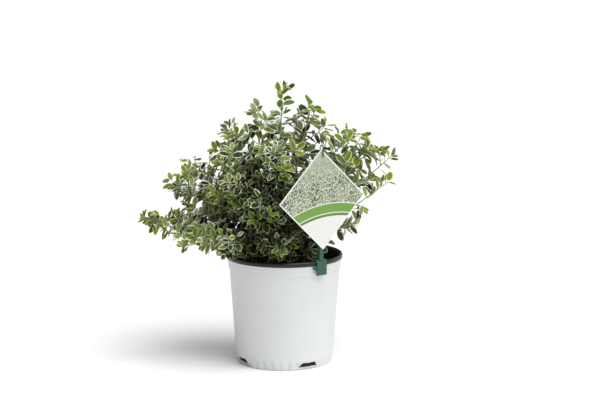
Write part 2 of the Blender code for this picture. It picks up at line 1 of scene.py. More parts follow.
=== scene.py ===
"""Looks of the potted wintercreeper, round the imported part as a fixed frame.

Metres, +Z up. The pot stands on z = 0 with its axis on the Z axis, and its front is towards -Y.
The limbs and side shoots grow by the part's own rule, and carry on here to finer twigs and leaves.
"""

import math
import random
from collections import namedtuple

import bmesh
import bpy
import numpy as np
from mathutils import Matrix, Vector, noise
from mathutils.geometry import interpolate_bezier


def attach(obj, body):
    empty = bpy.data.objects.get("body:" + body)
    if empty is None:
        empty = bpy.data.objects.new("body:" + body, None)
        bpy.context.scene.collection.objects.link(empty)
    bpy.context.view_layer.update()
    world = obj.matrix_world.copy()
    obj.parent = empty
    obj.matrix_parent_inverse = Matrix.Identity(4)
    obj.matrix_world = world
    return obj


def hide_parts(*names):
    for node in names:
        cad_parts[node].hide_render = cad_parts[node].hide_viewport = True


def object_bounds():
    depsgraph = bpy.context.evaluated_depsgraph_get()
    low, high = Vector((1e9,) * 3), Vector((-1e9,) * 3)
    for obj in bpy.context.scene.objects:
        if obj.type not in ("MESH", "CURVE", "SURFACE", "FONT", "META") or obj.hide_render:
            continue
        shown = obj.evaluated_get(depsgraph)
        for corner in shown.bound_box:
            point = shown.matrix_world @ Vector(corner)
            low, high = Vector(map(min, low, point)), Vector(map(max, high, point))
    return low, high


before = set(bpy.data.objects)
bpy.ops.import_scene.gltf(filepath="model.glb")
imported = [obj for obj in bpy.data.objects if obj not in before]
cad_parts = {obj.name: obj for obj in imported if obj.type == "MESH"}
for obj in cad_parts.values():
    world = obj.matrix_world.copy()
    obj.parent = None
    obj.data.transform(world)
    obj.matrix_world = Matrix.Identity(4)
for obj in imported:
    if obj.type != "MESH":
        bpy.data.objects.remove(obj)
CAD_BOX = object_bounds()

UP = Vector((0, 0, 1))
CLEAR = 0.0003          # air between pieces that touch on the real plant

# Pot, as the part has it
POT_HEIGHT = 0.2097
RIM_RADIUS = 0.1110
FOOT_RADIUS = 0.0896
KNEE = (0.0936, 0.0130)         # radius and height where the foot meets the wall
COLLAR = (0.1055, 0.1810)       # radius and height where the wall meets the collar
WALL = 0.0020
PLATE_TOP = 0.0046              # the floor plate's edge as it shows in the notches
LIP_DEPTH = 0.0085
LIP_BEAD = 0.0020
NOTCH_COUNT = 4
NOTCH_ANGLE = math.radians(-60)
NOTCH_HEIGHT = 0.0136
NOTCH_WIDTHS = (0.05160, 0.02838)   # at the foot and at the notch's top
NOTCH_DEPTH = 0.0160            # of the block that cuts it
FLUTE_COUNT = 36
POT_STEPS = 6 * FLUTE_COUNT
FLUTE_DEPTH = 0.0021
FLUTE_TOP = 0.0172
# heights that a flute is pushed in at: from, to, and the share of its full depth there
FLUTE_BANDS = ((0.0130, 0.0150, 0.75), (0.0026, 0.0125, 1.0), (-1.0, 0.0010, 0.8))
FLUTE_LINES = (((2, 4), 0.75), ((3,), 1.0))     # which of its six lines, and their share

# Potting mix and crown
SOIL_TOP = 0.1870
CROWN = Vector((-0.0120, 0.0, SOIL_TOP + CLEAR))
CROWN_LEAN = Vector((0.08, 0.02, 1.0))
STEM_RINGS = (
    (0.000, 0.0140),
    (0.002, 0.0120),
    (0.005, 0.0104),
    (0.010, 0.0094),
    (0.018, 0.0087),
    (0.027, 0.0080),
    (0.029, 0.0068),
)
TIERS = {"low": 0.006, "mid": 0.016}
TOP_TIER_RADIUS = 0.0042
CHIP_COUNT = 620
CHIP_SIZES = (0.0035, 0.0095)   # shortest and longest bark chip in the mix
# tints of the chips: the bark's own dark brown, darkened near black as painted shade inside the pot
CHIP_TINTS = (("black", "14100d"), ("dark", "211a14"), ("brown", "33281e"))

# Limbs
BOUGH_RADIUS = 0.0022
TIP_RADIUS = 0.0011
LEADER_POINTS = 6
SHOOT_POINTS = 3
SHOOT_RADIUS = 0.0013
SHOOT_CLEAR = 0.0065
SHOOT_TRIES = 9
TWIG_RADIUS = 0.0007            # the finest twigs, which the part leaves out
BARK_RIDGE = 0.00035            # how far the bark's ridges stand out

# Leaves at their real size
LEAF_LENGTH = 0.0300
LEAF_HALF_WIDTH = 0.0082
LEAF_STALK = 0.0034
LEAF_THICKNESS = 0.0004
NODE_GAP = 0.0155
YOUNG_LENGTH = 0.030            # last stretch of a shoot, where leaves are smaller and upright
LEAF_ANGLE = math.radians(74)

# Studio
CAMERA = Vector((0.0297, -3.0, 0.7914))
CAMERA_PITCH = 0.1588
CAMERA_LENS = 95.72             # millimetres, for a sensor of 36
SKY_STRENGTH = (0.23, 0.62)     # on the left and on the right, where the photo's light comes from
LIGHT_STRENGTH = 2.75
LIGHT_SPREAD = math.radians(50)
LIGHT_WAY = Vector((-0.34, 0.37, -1.0))

# Label: a square card on its corner, held by a clip on the rim
HOLDER_ANGLE = math.radians(38.5)
CARD_YAW = math.radians(33.0)
CARD_ROLL = math.radians(1.3)
CARD_SIDE = 0.1333
CARD_THICKNESS = 0.0008
CARD_CORNER = 0.0030
CARD_HEIGHT = 0.3260
CARD_REACH = 0.1137
CARD_BORDER = 0.0020
ARC_CENTRE = (0.020, -0.230)    # across and up the card: what its printed arcs are drawn round
HAZE = (0.268, 0.312)           # from where to where, in metres from the arcs' centre
# from the top down: white line, broad green band, pale line, thin green band, white foot
CARD_BANDS = (
    (0.2220, "dcdfd9"),
    (0.2204, "6b943c"),
    (0.2040, "d5dccb"),
    (0.2020, "5c7a34"),
    (0.1972, "dcdfd9"),
)
CLIP_WIDTH = 0.0230
CHANNEL_DEPTH = 0.0072
CHANNEL_FACE = 0.1123

Spray = namedtuple("Spray", "name tier exit rise tip arrive bare shoots reach seed")
# every limb as the part has it: its tier on the stem, the compass angle and the rise it leaves at, its
# tip, the slope it arrives at, the share that is bare bough, how many side shoots, their reach, its seed
SPRAYS = (
    Spray("top_centre", "top", 110, 86, (-0.004, 0.000, 0.522), 88, 0.40, 4, 0.080, 1),
    Spray("top_right", "top", 25, 82, (0.050, 0.028, 0.490), 78, 0.38, 4, 0.076, 2),
    Spray("top_left", "top", 195, 80, (-0.056, -0.015, 0.484), 82, 0.38, 4, 0.076, 3),
    Spray("front_upper", "top", 285, 76, (-0.018, -0.080, 0.418), 75, 0.26, 5, 0.075, 4),
    Spray("shoulder_left", "mid", 150, 74, (-0.108, 0.036, 0.430), 66, 0.32, 5, 0.075, 5),
    Spray("shoulder_front", "mid", 228, 70, (-0.122, -0.054, 0.394), 55, 0.28, 4, 0.070, 21),
    Spray("left_upper", "mid", 202, 62, (-0.182, -0.010, 0.374), 30, 0.32, 5, 0.068, 6),
    Spray("left_outer", "mid", 176, 52, (-0.214, 0.030, 0.336), 18, 0.30, 5, 0.065, 7),
    Spray("left_long", "low", 182, 32, (-0.262, 0.005, 0.266), 8, 0.30, 5, 0.048, 8),
    Spray("left_low", "low", 209, 34, (-0.190, -0.060, 0.234), -12, 0.24, 5, 0.052, 9),
    Spray("front_left", "low", 236, 44, (-0.110, -0.120, 0.230), -24, 0.20, 5, 0.052, 10),
    Spray("front_centre", "mid", 256, 58, (-0.052, -0.168, 0.304), 12, 0.24, 5, 0.070, 11),
    Spray("front_low", "low", 278, 42, (-0.006, -0.128, 0.238), -10, 0.18, 6, 0.055, 12),
    Spray("front_right", "mid", 308, 66, (0.050, -0.052, 0.344), 62, 0.24, 5, 0.062, 13),
    Spray("right_shoulder", "mid", 8, 76, (0.098, 0.006, 0.420), 64, 0.36, 5, 0.070, 22),
    Spray("right_upper", "mid", 34, 62, (0.158, 0.050, 0.412), 40, 0.44, 4, 0.065, 14),
    Spray("right_middle", "mid", 340, 52, (0.204, 0.025, 0.392), 42, 0.66, 2, 0.045, 15),
    Spray("right_outer", "low", 6, 42, (0.196, -0.025, 0.350), 38, 0.62, 2, 0.045, 16),
    Spray("right_low", "low", 334, 36, (0.128, -0.030, 0.270), 16, 0.44, 3, 0.045, 17),
    Spray("back_left", "mid", 116, 58, (-0.095, 0.150, 0.370), 35, 0.30, 4, 0.070, 18),
    Spray("back_middle", "mid", 80, 60, (0.015, 0.172, 0.385), 35, 0.30, 4, 0.070, 19),
    Spray("back_right", "low", 50, 48, (0.115, 0.130, 0.350), 32, 0.32, 4, 0.068, 20),
)


# Colours and materials

def linear(hex_colour):
    """Linear RGBA from a hex sRGB colour."""
    channels = [int(hex_colour[i:i + 2], 16) / 255 for i in (0, 2, 4)]
    return [c / 12.92 if c <= 0.04045 else ((c + 0.055) / 1.055) ** 2.4 for c in channels] + [1.0]


def add_node(tree, kind, inputs=None, **settings):
    """One node with its settings. An input given as a socket is linked, any other is set."""
    made = tree.nodes.new(kind)
    for name, value in settings.items():
        setattr(made, name, value)
    for socket, value in (inputs or {}).items():
        if isinstance(value, bpy.types.NodeSocket):
            tree.links.new(value, made.inputs[socket])
        else:
            made.inputs[socket].default_value = value
    return made


def new_material(name, hex_colour, roughness, **values):
    """A Principled material with its plain values, and its node tree and shader."""
    material = bpy.data.materials.new(name)
    material.use_nodes = True
    material.diffuse_color = linear(hex_colour)
    shader = material.node_tree.nodes["Principled BSDF"]
    shader.inputs["Base Color"].default_value = linear(hex_colour)
    shader.inputs["Roughness"].default_value = roughness
    for socket, value in values.items():
        shader.inputs[socket.replace("_", " ")].default_value = value
    return material, material.node_tree, shader


def object_coords(tree):
    """Object coordinates, in metres."""
    return add_node(tree, "ShaderNodeTexCoord").outputs["Object"]


def noise_at(tree, place, scale, detail=2.0):
    """A noise pattern; its scale is one over the size of its features in metres."""
    values = {"Vector": place, "Scale": scale, "Detail": detail}
    return add_node(tree, "ShaderNodeTexNoise", values).outputs["Fac"]


def stretched(tree, place, along):
    """Coordinates that draw a pattern out along Z."""
    values = {"Vector": place, "Scale": (1.0, 1.0, along)}
    return add_node(tree, "ShaderNodeMapping", values).outputs["Vector"]


def ranged(tree, value, low, high, new_low=0.0, new_high=1.0):
    """A value whose range from low to high is spread over a new one."""
    values = {0: value, 1: low, 2: high, 3: new_low, 4: new_high}
    return add_node(tree, "ShaderNodeMapRange", values).outputs[0]


def mixed(tree, share, first, second):
    """The colour between two, each of them a hex colour or a socket."""
    ends = [linear(end) if isinstance(end, str) else end for end in (first, second)]
    values = {0: share, 6: ends[0], 7: ends[1]}
    return add_node(tree, "ShaderNodeMix", values, data_type="RGBA").outputs[2]


def tint_between(tree, shader, share, first, second):
    """A base colour that runs between two with a pattern."""
    tree.links.new(mixed(tree, share, first, second), shader.inputs["Base Color"])


def gloss_between(tree, shader, share, low, high):
    """A roughness that runs between two values with a pattern."""
    tree.links.new(ranged(tree, share, 0.0, 1.0, low, high), shader.inputs["Roughness"])


def relief_of(tree, shader, height, strength, distance):
    """A fine relief after a pattern, its depth in metres."""
    bump = add_node(tree, "ShaderNodeBump", {"Height": height, "Strength": strength, "Distance": distance})
    tree.links.new(bump.outputs["Normal"], shader.inputs["Normal"])


def moulded_white():
    """White polypropylene, injection moulded: satin, with a faint cloudiness and a fine grain."""
    material, tree, shader = new_material("Polypropylene white moulded", "d5d8d7", 0.42, IOR=1.49)
    place = object_coords(tree)
    # clouds about 40 mm across, as the melt cools unevenly
    tint_between(tree, shader, noise_at(tree, place, 25.0, 3.0), "d2d5d4", "d9dcdb")
    # grain of 1.2 mm, coarser than the real 0.3 mm so that it shows
    grain = noise_at(tree, place, 800.0)
    gloss_between(tree, shader, grain, 0.36, 0.50)
    relief_of(tree, shader, grain, 0.06, 0.0003)
    return material


def moulded_black():
    """Black polypropylene inside the pot and over its lip: semi-gloss, with dust in its grain."""
    material, tree, shader = new_material("Polypropylene black moulded", "161716", 0.36, IOR=1.49)
    # grains of dust 6 mm apart
    dust = noise_at(tree, object_coords(tree), 160.0, 5.0)
    tint_between(tree, shader, ranged(tree, dust, 0.50, 0.80), "121312", "2e2d28")
    gloss_between(tree, shader, dust, 0.30, 0.52)
    return material


def moulded_green():
    """Green polypropylene of the label's clip and stake: satin, with flow marks along the stake."""
    material, tree, shader = new_material("Polypropylene green moulded", "26523c", 0.42, IOR=1.49)
    # marks 3 mm across and 30 mm long
    marks = noise_at(tree, stretched(tree, object_coords(tree), 0.1), 330.0, 3.0)
    tint_between(tree, shader, marks, "224a37", "2c5b44")
    gloss_between(tree, shader, marks, 0.34, 0.52)
    return material


def peat_mix():
    """Peat with composted bark: dark, matt and crumbly, and darkened near black as painted shade inside the
    pot.
    """
    material, tree, shader = new_material("Peat and composted bark", "2a211a", 0.95)
    # crumbs of 3 mm
    values = {"Vector": object_coords(tree), "Scale": 330.0}
    crumbs = add_node(tree, "ShaderNodeTexVoronoi", values).outputs["Distance"]
    tint_between(tree, shader, crumbs, "120f0c", "2a221a")
    relief_of(tree, shader, crumbs, 0.8, 0.0015)
    return material


def bark_chip(tint, hex_colour):
    """Composted pine bark in one tint: dull and fibrous, so lighter streaks over a rough surface."""
    material, tree, shader = new_material("Pine bark chip " + tint, hex_colour, 0.92)
    # fibres of 1 mm
    fibres = noise_at(tree, object_coords(tree), 1000.0, 3.0)
    tint_between(tree, shader, fibres, hex_colour, "4a3d2f")
    relief_of(tree, shader, fibres, 0.5, 0.0004)
    return material


def green_twig():
    """Young wintercreeper stem: smooth green skin with small pale corky warts, half gloss."""
    material, tree, shader = new_material("Stem skin green with cork warts", "a0a880", 0.50, IOR=1.45)
    # the real warts are 0.2 mm apart; drawn at 2 mm so that they show
    warts = noise_at(tree, object_coords(tree), 500.0)
    tint_between(tree, shader, ranged(tree, warts, 0.35, 0.65), "87925f", "b9bd9c")
    relief_of(tree, shader, warts, 0.3, 0.0002)
    return material


def young_bark():
    """Corky grey-brown bark over green: matt, with cracks along the limb."""
    material, tree, shader = new_material("Bark grey-brown corky", "5b5239", 0.85)
    # cracks 1.5 mm apart and several times as long
    cracks = noise_at(tree, stretched(tree, object_coords(tree), 0.25), 650.0, 4.0)
    tint_between(tree, shader, cracks, "3b3424", "77704c")
    relief_of(tree, shader, cracks, 0.6, 0.0004)
    return material


def card_white():
    """White polystyrene card: smooth and semi-gloss, its gloss a little cloudy over 17 mm."""
    material, tree, shader = new_material("Polystyrene card white", "eceee9", 0.30, IOR=1.55)
    gloss_between(tree, shader, noise_at(tree, object_coords(tree), 60.0), 0.25, 0.38)
    return material


def card_print():
    """The printed side of the card: plain bands of green under a mottled field, in varnished ink."""
    material, tree, shader = new_material("Ink varnished on polystyrene", "dcdfd9", 0.28, IOR=1.55)
    place = object_coords(tree)
    # distance from a point far below the card: its steps are shallow arcs across the card
    ends = {0: place, 1: card_point(*ARC_CENTRE)}
    arc = add_node(tree, "ShaderNodeVectorMath", ends, operation="DISTANCE").outputs["Value"]
    # the mottled field: flecks of 3 mm from near black to cream, over patches of 25 mm
    flecks = ranged(tree, noise_at(tree, place, 360.0), 0.42, 0.62)
    patches = ranged(tree, noise_at(tree, place, 40.0, 1.0), 0.35, 0.65)
    field = mixed(tree, flecks, mixed(tree, patches, "1f2620", "74805f"), "ccd0bc")
    # it fades to a pale haze towards the card's upper corner
    colour = mixed(tree, ranged(tree, arc, *HAZE), field, "a5b29b")
    for edge, hex_colour in CARD_BANDS:
        below = add_node(tree, "ShaderNodeMath", {0: arc, 1: edge}, operation="LESS_THAN")
        colour = mixed(tree, below.outputs[0], colour, hex_colour)
    tree.links.new(colour, shader.inputs["Base Color"])
    return material


def floor_paper():
    """White background paper: matt, with a faint tooth of 1 mm."""
    material, tree, shader = new_material("Background paper white", "fbfbfa", 0.9)
    relief_of(tree, shader, noise_at(tree, object_coords(tree), 900.0), 0.05, 0.0002)
    return material


# Leaf colours by age and by painted light: centre and margin in three tints, of which each twig has mostly
# one. Fresh, green and old are the leaves' own colours, the old margins brightened near white as painted
# light; lit is a painted lit copy, shade a painted shaded copy, the darker young tint a painted shaded copy
# of fresh, and pale a painted highlight among the shaded leaves
LEAF_TINTS = {
    "fresh": (("66792a", "c6cd80"), ("7a8c32", "d3d990"), ("566a22", "aeb868")),
    "lit": (("7c8d42", "f0f3de"), ("6e803a", "f6f8ea"), ("8c9c52", "f9f9f0")),
    "green": (("4e6428", "e6e9cc"), ("415824", "dcdfba"), ("5d742e", "f0f2dc")),
    "old": (("29381a", "f4f4e4"), ("202d13", "f8f8ec"), ("36461f", "e8ead4")),
    "shade": (("18220c", "767d58"), ("121a08", "5c6342"), ("222e11", "959b74")),
    # painted shaded copy of the fresh colour, for young tips in the shade
    "fresh_in_shade": (("4f641d", "93a24c"), ("5c7224", "a5b25a"), ("435717", "808f40")),
    # pale leaves as a painted highlight in the shade
    "pale": (("7c8760", "d9ddc6"), ("8d9872", "e2e6d2"), ("667249", "c9cfb2")),
}
AGES_AND_LIGHTS = tuple(LEAF_TINTS)
SLOTS_OF_AGE_AND_LIGHT = 7                # centre and margin in each tint, and the underside
# undersides by age and painted light: without the wax and greyer, painted pale where the light comes through
# and painted dark in the shade
UNDERSIDES = {
    "fresh": "8e9c54",
    "lit": "b4c094",
    "green": "95a372",
    "old": "6a774e",
    "shade": "2f3a1e",
    "fresh_in_shade": "6d7c3c",
    "pale": "98a27c",
}
WAX = {"IOR": 1.45, "Specular_IOR_Level": 0.14}     # they hardly shine in the photo


def leaf_materials():
    """Plain colours of the leaves, in the order of leaf_slots: waxy blades, half gloss."""
    made = []
    for age_and_light in AGES_AND_LIGHTS:
        for i, (centre, margin) in enumerate(LEAF_TINTS[age_and_light]):
            made.append(new_material(f"Leaf {age_and_light} centre {i}", centre, 0.45, **WAX)[0])
            made.append(new_material(f"Leaf {age_and_light} margin {i}", margin, 0.48, **WAX)[0])
        made.append(new_material(f"Leaf {age_and_light} underside", UNDERSIDES[age_and_light], 0.60)[0])
    made.append(new_material("Leaf stalk", "a3b37c", 0.50)[0])
    return made


def leaf_slots(age_and_light, tint):
    """Material slots of a leaf's centre, margin, underside and stalk."""
    first = SLOTS_OF_AGE_AND_LIGHT * AGES_AND_LIGHTS.index(age_and_light)
    underside = first + SLOTS_OF_AGE_AND_LIGHT - 1
    return first + 2 * tint, first + 2 * tint + 1, underside, SLOTS_OF_AGE_AND_LIGHT * len(AGES_AND_LIGHTS)


# Modelling

def deselect():
    """Leave nothing selected, so that an operator acts on the new piece alone."""
    for obj in bpy.context.selected_objects:
        obj.select_set(False)


def select_alone(obj):
    """Select one piece and make it the active one."""
    deselect()
    obj.select_set(True)
    bpy.context.view_layer.objects.active = obj


def select_parts(obj, kind, chosen):
    """In edit mode, select the verts, edges or faces that pass a test, and nothing else."""
    bm = bmesh.from_edit_mesh(obj.data)
    for part in getattr(bm, kind):
        part.select = chosen(part)
    bm.select_flush_mode()
    bmesh.update_edit_mesh(obj.data)


def select_verts(obj, chosen):
    """In edit mode, select the vertices whose place passes a test, and nothing else."""
    select_parts(obj, "verts", lambda vertex: chosen(vertex.co))


def new_block(size):
    """A block about the origin, in edit mode with all of it selected."""
    deselect()
    bpy.ops.mesh.primitive_cube_add(size=1, location=(0, 0, 0))
    block = bpy.context.object
    bpy.ops.object.mode_set(mode="EDIT")
    bpy.ops.mesh.select_all(action="SELECT")
    bpy.ops.transform.resize(value=size, center_override=(0, 0, 0))
    return block


def in_object_mode(obj, name):
    """Leave edit mode with the piece's place in its mesh, and name it."""
    bpy.ops.object.mode_set(mode="OBJECT")
    bpy.ops.object.transform_apply(location=True, rotation=True, scale=True)
    obj.name = name
    obj.data.name = name
    return obj


def ringed(name, profile, steps):
    """A turned skin: one ring, extruded and resized from each point of its profile to the next."""
    deselect()
    radius, height = profile[0]
    bpy.ops.mesh.primitive_circle_add(vertices=steps, radius=radius, location=(0, 0, height))
    obj = bpy.context.object
    bpy.ops.object.mode_set(mode="EDIT")
    bpy.ops.mesh.select_all(action="SELECT")
    for (old_radius, old_height), (radius, height) in zip(profile, profile[1:]):
        bpy.ops.mesh.extrude_edges_move(TRANSFORM_OT_translate={"value": (0, 0, height - old_height)})
        scale = radius / old_radius
        bpy.ops.transform.resize(value=(scale, scale, 1), center_override=(0, 0, height))
    bpy.ops.mesh.edge_face_add()
    bpy.ops.mesh.select_all(action="DESELECT")
    bpy.ops.mesh.select_non_manifold()
    bpy.ops.mesh.edge_face_add()
    bpy.ops.mesh.select_all(action="SELECT")
    bpy.ops.mesh.normals_make_consistent(inside=False)
    return in_object_mode(obj, name)


def smooth(obj, degrees):
    """Smooth shading with sharp edges past an angle."""
    select_alone(obj)
    bpy.ops.object.shade_smooth_by_angle(angle=math.radians(degrees))


def inner_radius(height):
    """Radius of the pot's inner wall at a height above the foot."""
    low_radius, low = KNEE
    high_radius, high = RIM_RADIUS - LIP_BEAD - 0.0010, POT_HEIGHT - LIP_DEPTH
    return low_radius - WALL + (height - low) * (high_radius - low_radius) / (high - low)


def build_pot():
    """The moulded pot with its rolled lip, stepped collar, fluted foot and drain notches."""
    knee_radius, knee_height = KNEE
    collar_radius, collar_height = COLLAR
    lip_low = POT_HEIGHT - LIP_DEPTH
    lip_root = RIM_RADIUS - LIP_BEAD
    profile = [
        (FOOT_RADIUS - WALL, PLATE_TOP),
        (knee_radius - WALL, knee_height),
        (inner_radius(0.1), 0.1),
        (lip_root - WALL - 0.0010, lip_low),
    ]
    for radius, height, steps in (
        # over the rolled lip
        (RIM_RADIUS, POT_HEIGHT, (
            (-0.0046, -0.0022), (-0.0038, -0.0005), (-0.0031, -0.0001), (-0.0022, 0.0),
            (-0.0013, -0.0004), (-0.0006, -0.0012), (-0.0001, -0.0024), (0.0, -0.0040))),
        (RIM_RADIUS, lip_low, ((0.0, 0.0008), (-0.0005, 0.0001))),
        # down the band under the lip and round the collar's edge
        (lip_root, lip_low, (
            (0.0, 0.0), (-0.0003, -0.0072), (-0.0005, -0.0082), (-0.0013, -0.0090), (-0.0016, -0.0100))),
        (collar_radius, collar_height, (
            (0.0020, 0.0026), (0.0015, 0.0012), (0.0003, 0.0004), (0.0, -0.0006))),
        # down the wall to the knee
        (knee_radius, 0.0, ((0.0062, 0.1000), (0.0006, FLUTE_TOP + 0.0030), (0.0003, FLUTE_TOP))),
        (knee_radius, knee_height, ((0.0, 0.0010), (-0.0006, -0.0014))),
        (knee_radius, 0.0, ((-0.0013, 0.0090),)),
        # round the foot
        (FOOT_RADIUS, 0.0, ((0.0009, 0.0030), (0.0004, 0.0008), (-0.0002, 0.0))),
    ):
        profile += [(radius + out, height + up) for out, up in steps]
    pot = ringed("nursery_pot", profile, POT_STEPS)

    # three lines of six are pushed in, which leaves rounded flutes between flat lands
    select_alone(pot)
    bpy.ops.object.mode_set(mode="EDIT")
    step = math.tau / POT_STEPS
    for low, high, share in FLUTE_BANDS:
        for lines, depth in FLUTE_LINES:

            def in_flute(co):
                around = round(math.atan2(co.y, co.x) / step)
                outside = math.hypot(co.x, co.y) > FOOT_RADIUS - 0.0008
                return around % 6 in lines and low < co.z < high and outside

            select_verts(pot, in_flute)
            scale = 1 - FLUTE_DEPTH * share * depth / FOOT_RADIUS
            bpy.ops.transform.resize(value=(scale, scale, 1), center_override=(0, 0, 0))
    bpy.ops.object.mode_set(mode="OBJECT")

    for i in range(NOTCH_COUNT):
        cutter = notch_cutter(NOTCH_ANGLE + math.tau * i / NOTCH_COUNT)
        cut = pot.modifiers.new("Drain notch", "BOOLEAN")
        cut.object = cutter
        cut.solver = "EXACT"
        bpy.context.view_layer.objects.active = pot
        bpy.ops.object.modifier_apply(modifier=cut.name)
        bpy.data.objects.remove(cutter)

    pot.data.materials.clear()
    pot.data.materials.append(moulded_white())
    pot.data.materials.append(moulded_black())
    for face in pot.data.polygons:
        spoke = Vector((face.center.x, face.center.y, 0))
        faces_in = face.normal.dot(spoke.normalized()) < -0.3 or spoke.length < FOOT_RADIUS - WALL - 0.0005
        inside = face.center.z > PLATE_TOP * 0.98 and faces_in
        face.material_index = int(face.center.z > lip_low + 0.00005 or inside)
    smooth(pot, 30)
    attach(pot, "root")
    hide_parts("pot")


def notch_cutter(angle):
    """A block for one drain notch, narrower at its top."""
    foot_width, top_width = NOTCH_WIDTHS
    cutter = new_block((NOTCH_DEPTH, foot_width, NOTCH_HEIGHT + 0.002))
    select_verts(cutter, lambda co: co.z > 0)
    bpy.ops.transform.resize(value=(1, top_width / foot_width, 1), center_override=(0, 0, 0))
    bpy.ops.object.mode_set(mode="OBJECT")
    place = Matrix.Translation((FOOT_RADIUS + 0.004, 0, NOTCH_HEIGHT / 2 - 0.001))
    cutter.matrix_world = Matrix.Rotation(angle, 4, "Z") @ place
    bpy.context.view_layer.update()
    return cutter


def build_potting_mix():
    """The potting mix: a crumbly surface that sinks towards the wall."""
    gap = CLEAR + 0.0002
    edge = SOIL_TOP - 0.0020
    profile = [
        (FOOT_RADIUS - WALL - gap, PLATE_TOP + CLEAR),
        (inner_radius(KNEE[1]) - gap, KNEE[1]),
        (inner_radius(edge) - gap, edge),
    ]
    rings = 15
    for i in range(1, rings):
        share = i / rings
        profile.append(((inner_radius(edge) - gap) * (1 - share), edge + 0.0016 * min(share * 3, 1)))
    mix = ringed("potting_mix_surface", profile, 72)
    for vertex in mix.data.vertices:
        radius = math.hypot(vertex.co.x, vertex.co.y)
        if vertex.co.z > edge - 0.0001 and 0.020 < radius < inner_radius(edge) - 0.003:
            vertex.co.z += 0.0022 * noise.noise(vertex.co * 90) + 0.0012 * noise.noise(vertex.co * 260)
    mix.data.materials.clear()
    mix.data.materials.append(peat_mix())
    smooth(mix, 50)
    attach(mix, "root")
    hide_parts("potting_mix")

    chips = Joined("bark_chips")
    rng = random.Random(31)
    chip = model_chip()
    for i in range(CHIP_COUNT):
        radius = math.sqrt(rng.uniform(0.02, 1.0)) * (inner_radius(edge) - 0.0075)
        turn = rng.uniform(0, math.tau)
        size = rng.uniform(*CHIP_SIZES)
        height = SOIL_TOP + rng.uniform(-0.0012, 0.0006)
        place = Vector((radius * math.cos(turn), radius * math.sin(turn), height))
        roll = Matrix.Rotation(rng.uniform(-0.5, 0.5), 4, "X")
        tilt = roll @ Matrix.Rotation(rng.uniform(-0.5, 0.5), 4, "Y")
        shape = Matrix.Diagonal((size, size * rng.uniform(0.35, 0.7), size * rng.uniform(0.2, 0.4), 1))
        spin = Matrix.Rotation(rng.uniform(0, math.tau), 4, "Z")
        chips.add(chip, Matrix.Translation(place) @ spin @ tilt @ shape, [rng.randrange(len(CHIP_TINTS))])
    made = chips.build([bark_chip(tint, hex_colour) for tint, hex_colour in CHIP_TINTS])
    smooth(made, 30)
    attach(made, "root")


class Shape:
    """A modelled mesh as arrays: corners, faces, and which of its own colours each face has."""

    def __init__(self, obj):
        mesh = obj.data
        self.points = np.array([vertex.co for vertex in mesh.vertices])
        self.faces = [tuple(face.vertices) for face in mesh.polygons]
        self.colours = [face.material_index for face in mesh.polygons]
        bpy.data.objects.remove(obj)
        bpy.data.meshes.remove(mesh)


class Joined:
    """Many copies of small shapes, joined into one mesh."""

    def __init__(self, name):
        self.name = name
        self.points = []
        self.faces = []
        self.slots = []
        self.count = 0

    def add(self, shape, matrix, slots):
        """One copy of a shape, with the slot that each of its colours takes."""
        turn = np.array(matrix.to_3x3())
        self.add_raw(shape.points @ turn.T + np.array(matrix.translation), shape.faces,
                     [slots[colour] for colour in shape.colours])

    def add_raw(self, points, faces, slots):
        """Corners and faces as they are, with a slot for each face."""
        self.points.append(points)
        self.faces += [tuple(corner + self.count for corner in face) for face in faces]
        self.slots += slots
        self.count += len(points)

    def add_tube(self, points, radii, sides, relief=0.0, scale=1.0):
        """A capped tube along a path, in the first slot."""
        corners, faces = tube(points, radii, sides, relief, scale)
        self.add_raw(corners, faces, [0] * len(faces))

    def build(self, materials):
        """The joined mesh as an object."""
        mesh = bpy.data.meshes.new(self.name)
        mesh.from_pydata(np.concatenate(self.points).tolist(), [], self.faces)
        for material in materials:
            mesh.materials.append(material)
        mesh.polygons.foreach_set("material_index", self.slots)
        mesh.update()
        obj = bpy.data.objects.new(self.name, mesh)
        bpy.context.scene.collection.objects.link(obj)
        return obj


def model_chip():
    """One chip of bark: a block with split, slanting ends, of unit length."""
    chip = new_block((1, 1, 1))
    bpy.ops.mesh.bevel(offset=0.16, segments=1)
    select_verts(chip, lambda co: co.x > 0.3 and co.z > 0)
    bpy.ops.transform.translate(value=(-0.22, 0.05, 0))
    select_verts(chip, lambda co: co.x < -0.3 and co.y > 0)
    bpy.ops.transform.translate(value=(0.16, 0, -0.08))
    return Shape(in_object_mode(chip, "chip"))


# rows of a blade from its foot to its tip: share of its length, and of its half width
BLADE_ROWS = ((0.00, 0.00), (0.13, 0.60), (0.38, 1.00), (0.65, 0.90), (0.88, 0.45), (1.00, 0.00))
ASIDE = 10                      # how far a finished row waits from the rows still to be shaped
# width, fold and curl of each leaf shape in metres, and where its margin starts on each side
LEAF_SHAPES = (
    ("flat_leaf", LEAF_HALF_WIDTH, 0.0012, 0.0020, (0.84, 0.74)),
    ("folded_leaf", LEAF_HALF_WIDTH * 0.94, 0.0028, 0.0034, (0.70, 0.82)),
    ("cupped_leaf", LEAF_HALF_WIDTH * 1.06, 0.0020, -0.0016, (0.78, 0.80)),
    ("pale_edged_leaf", LEAF_HALF_WIDTH * 1.03, 0.0016, 0.0018, (0.56, 0.74)),
    ("young_leaf", LEAF_HALF_WIDTH * 0.94, 0.0026, -0.0024, (0.80, 0.66)),
)
# which of them grow where: those of the left have the broadest pale margins, partly the leaves' own
# variegation and partly painted light that brightens the left side
FLAT_KINDS = (0, 0, 1, 2)
PALE_EDGED_KINDS = (0, 1, 2, 3, 3)
YOUNG_KIND = 4


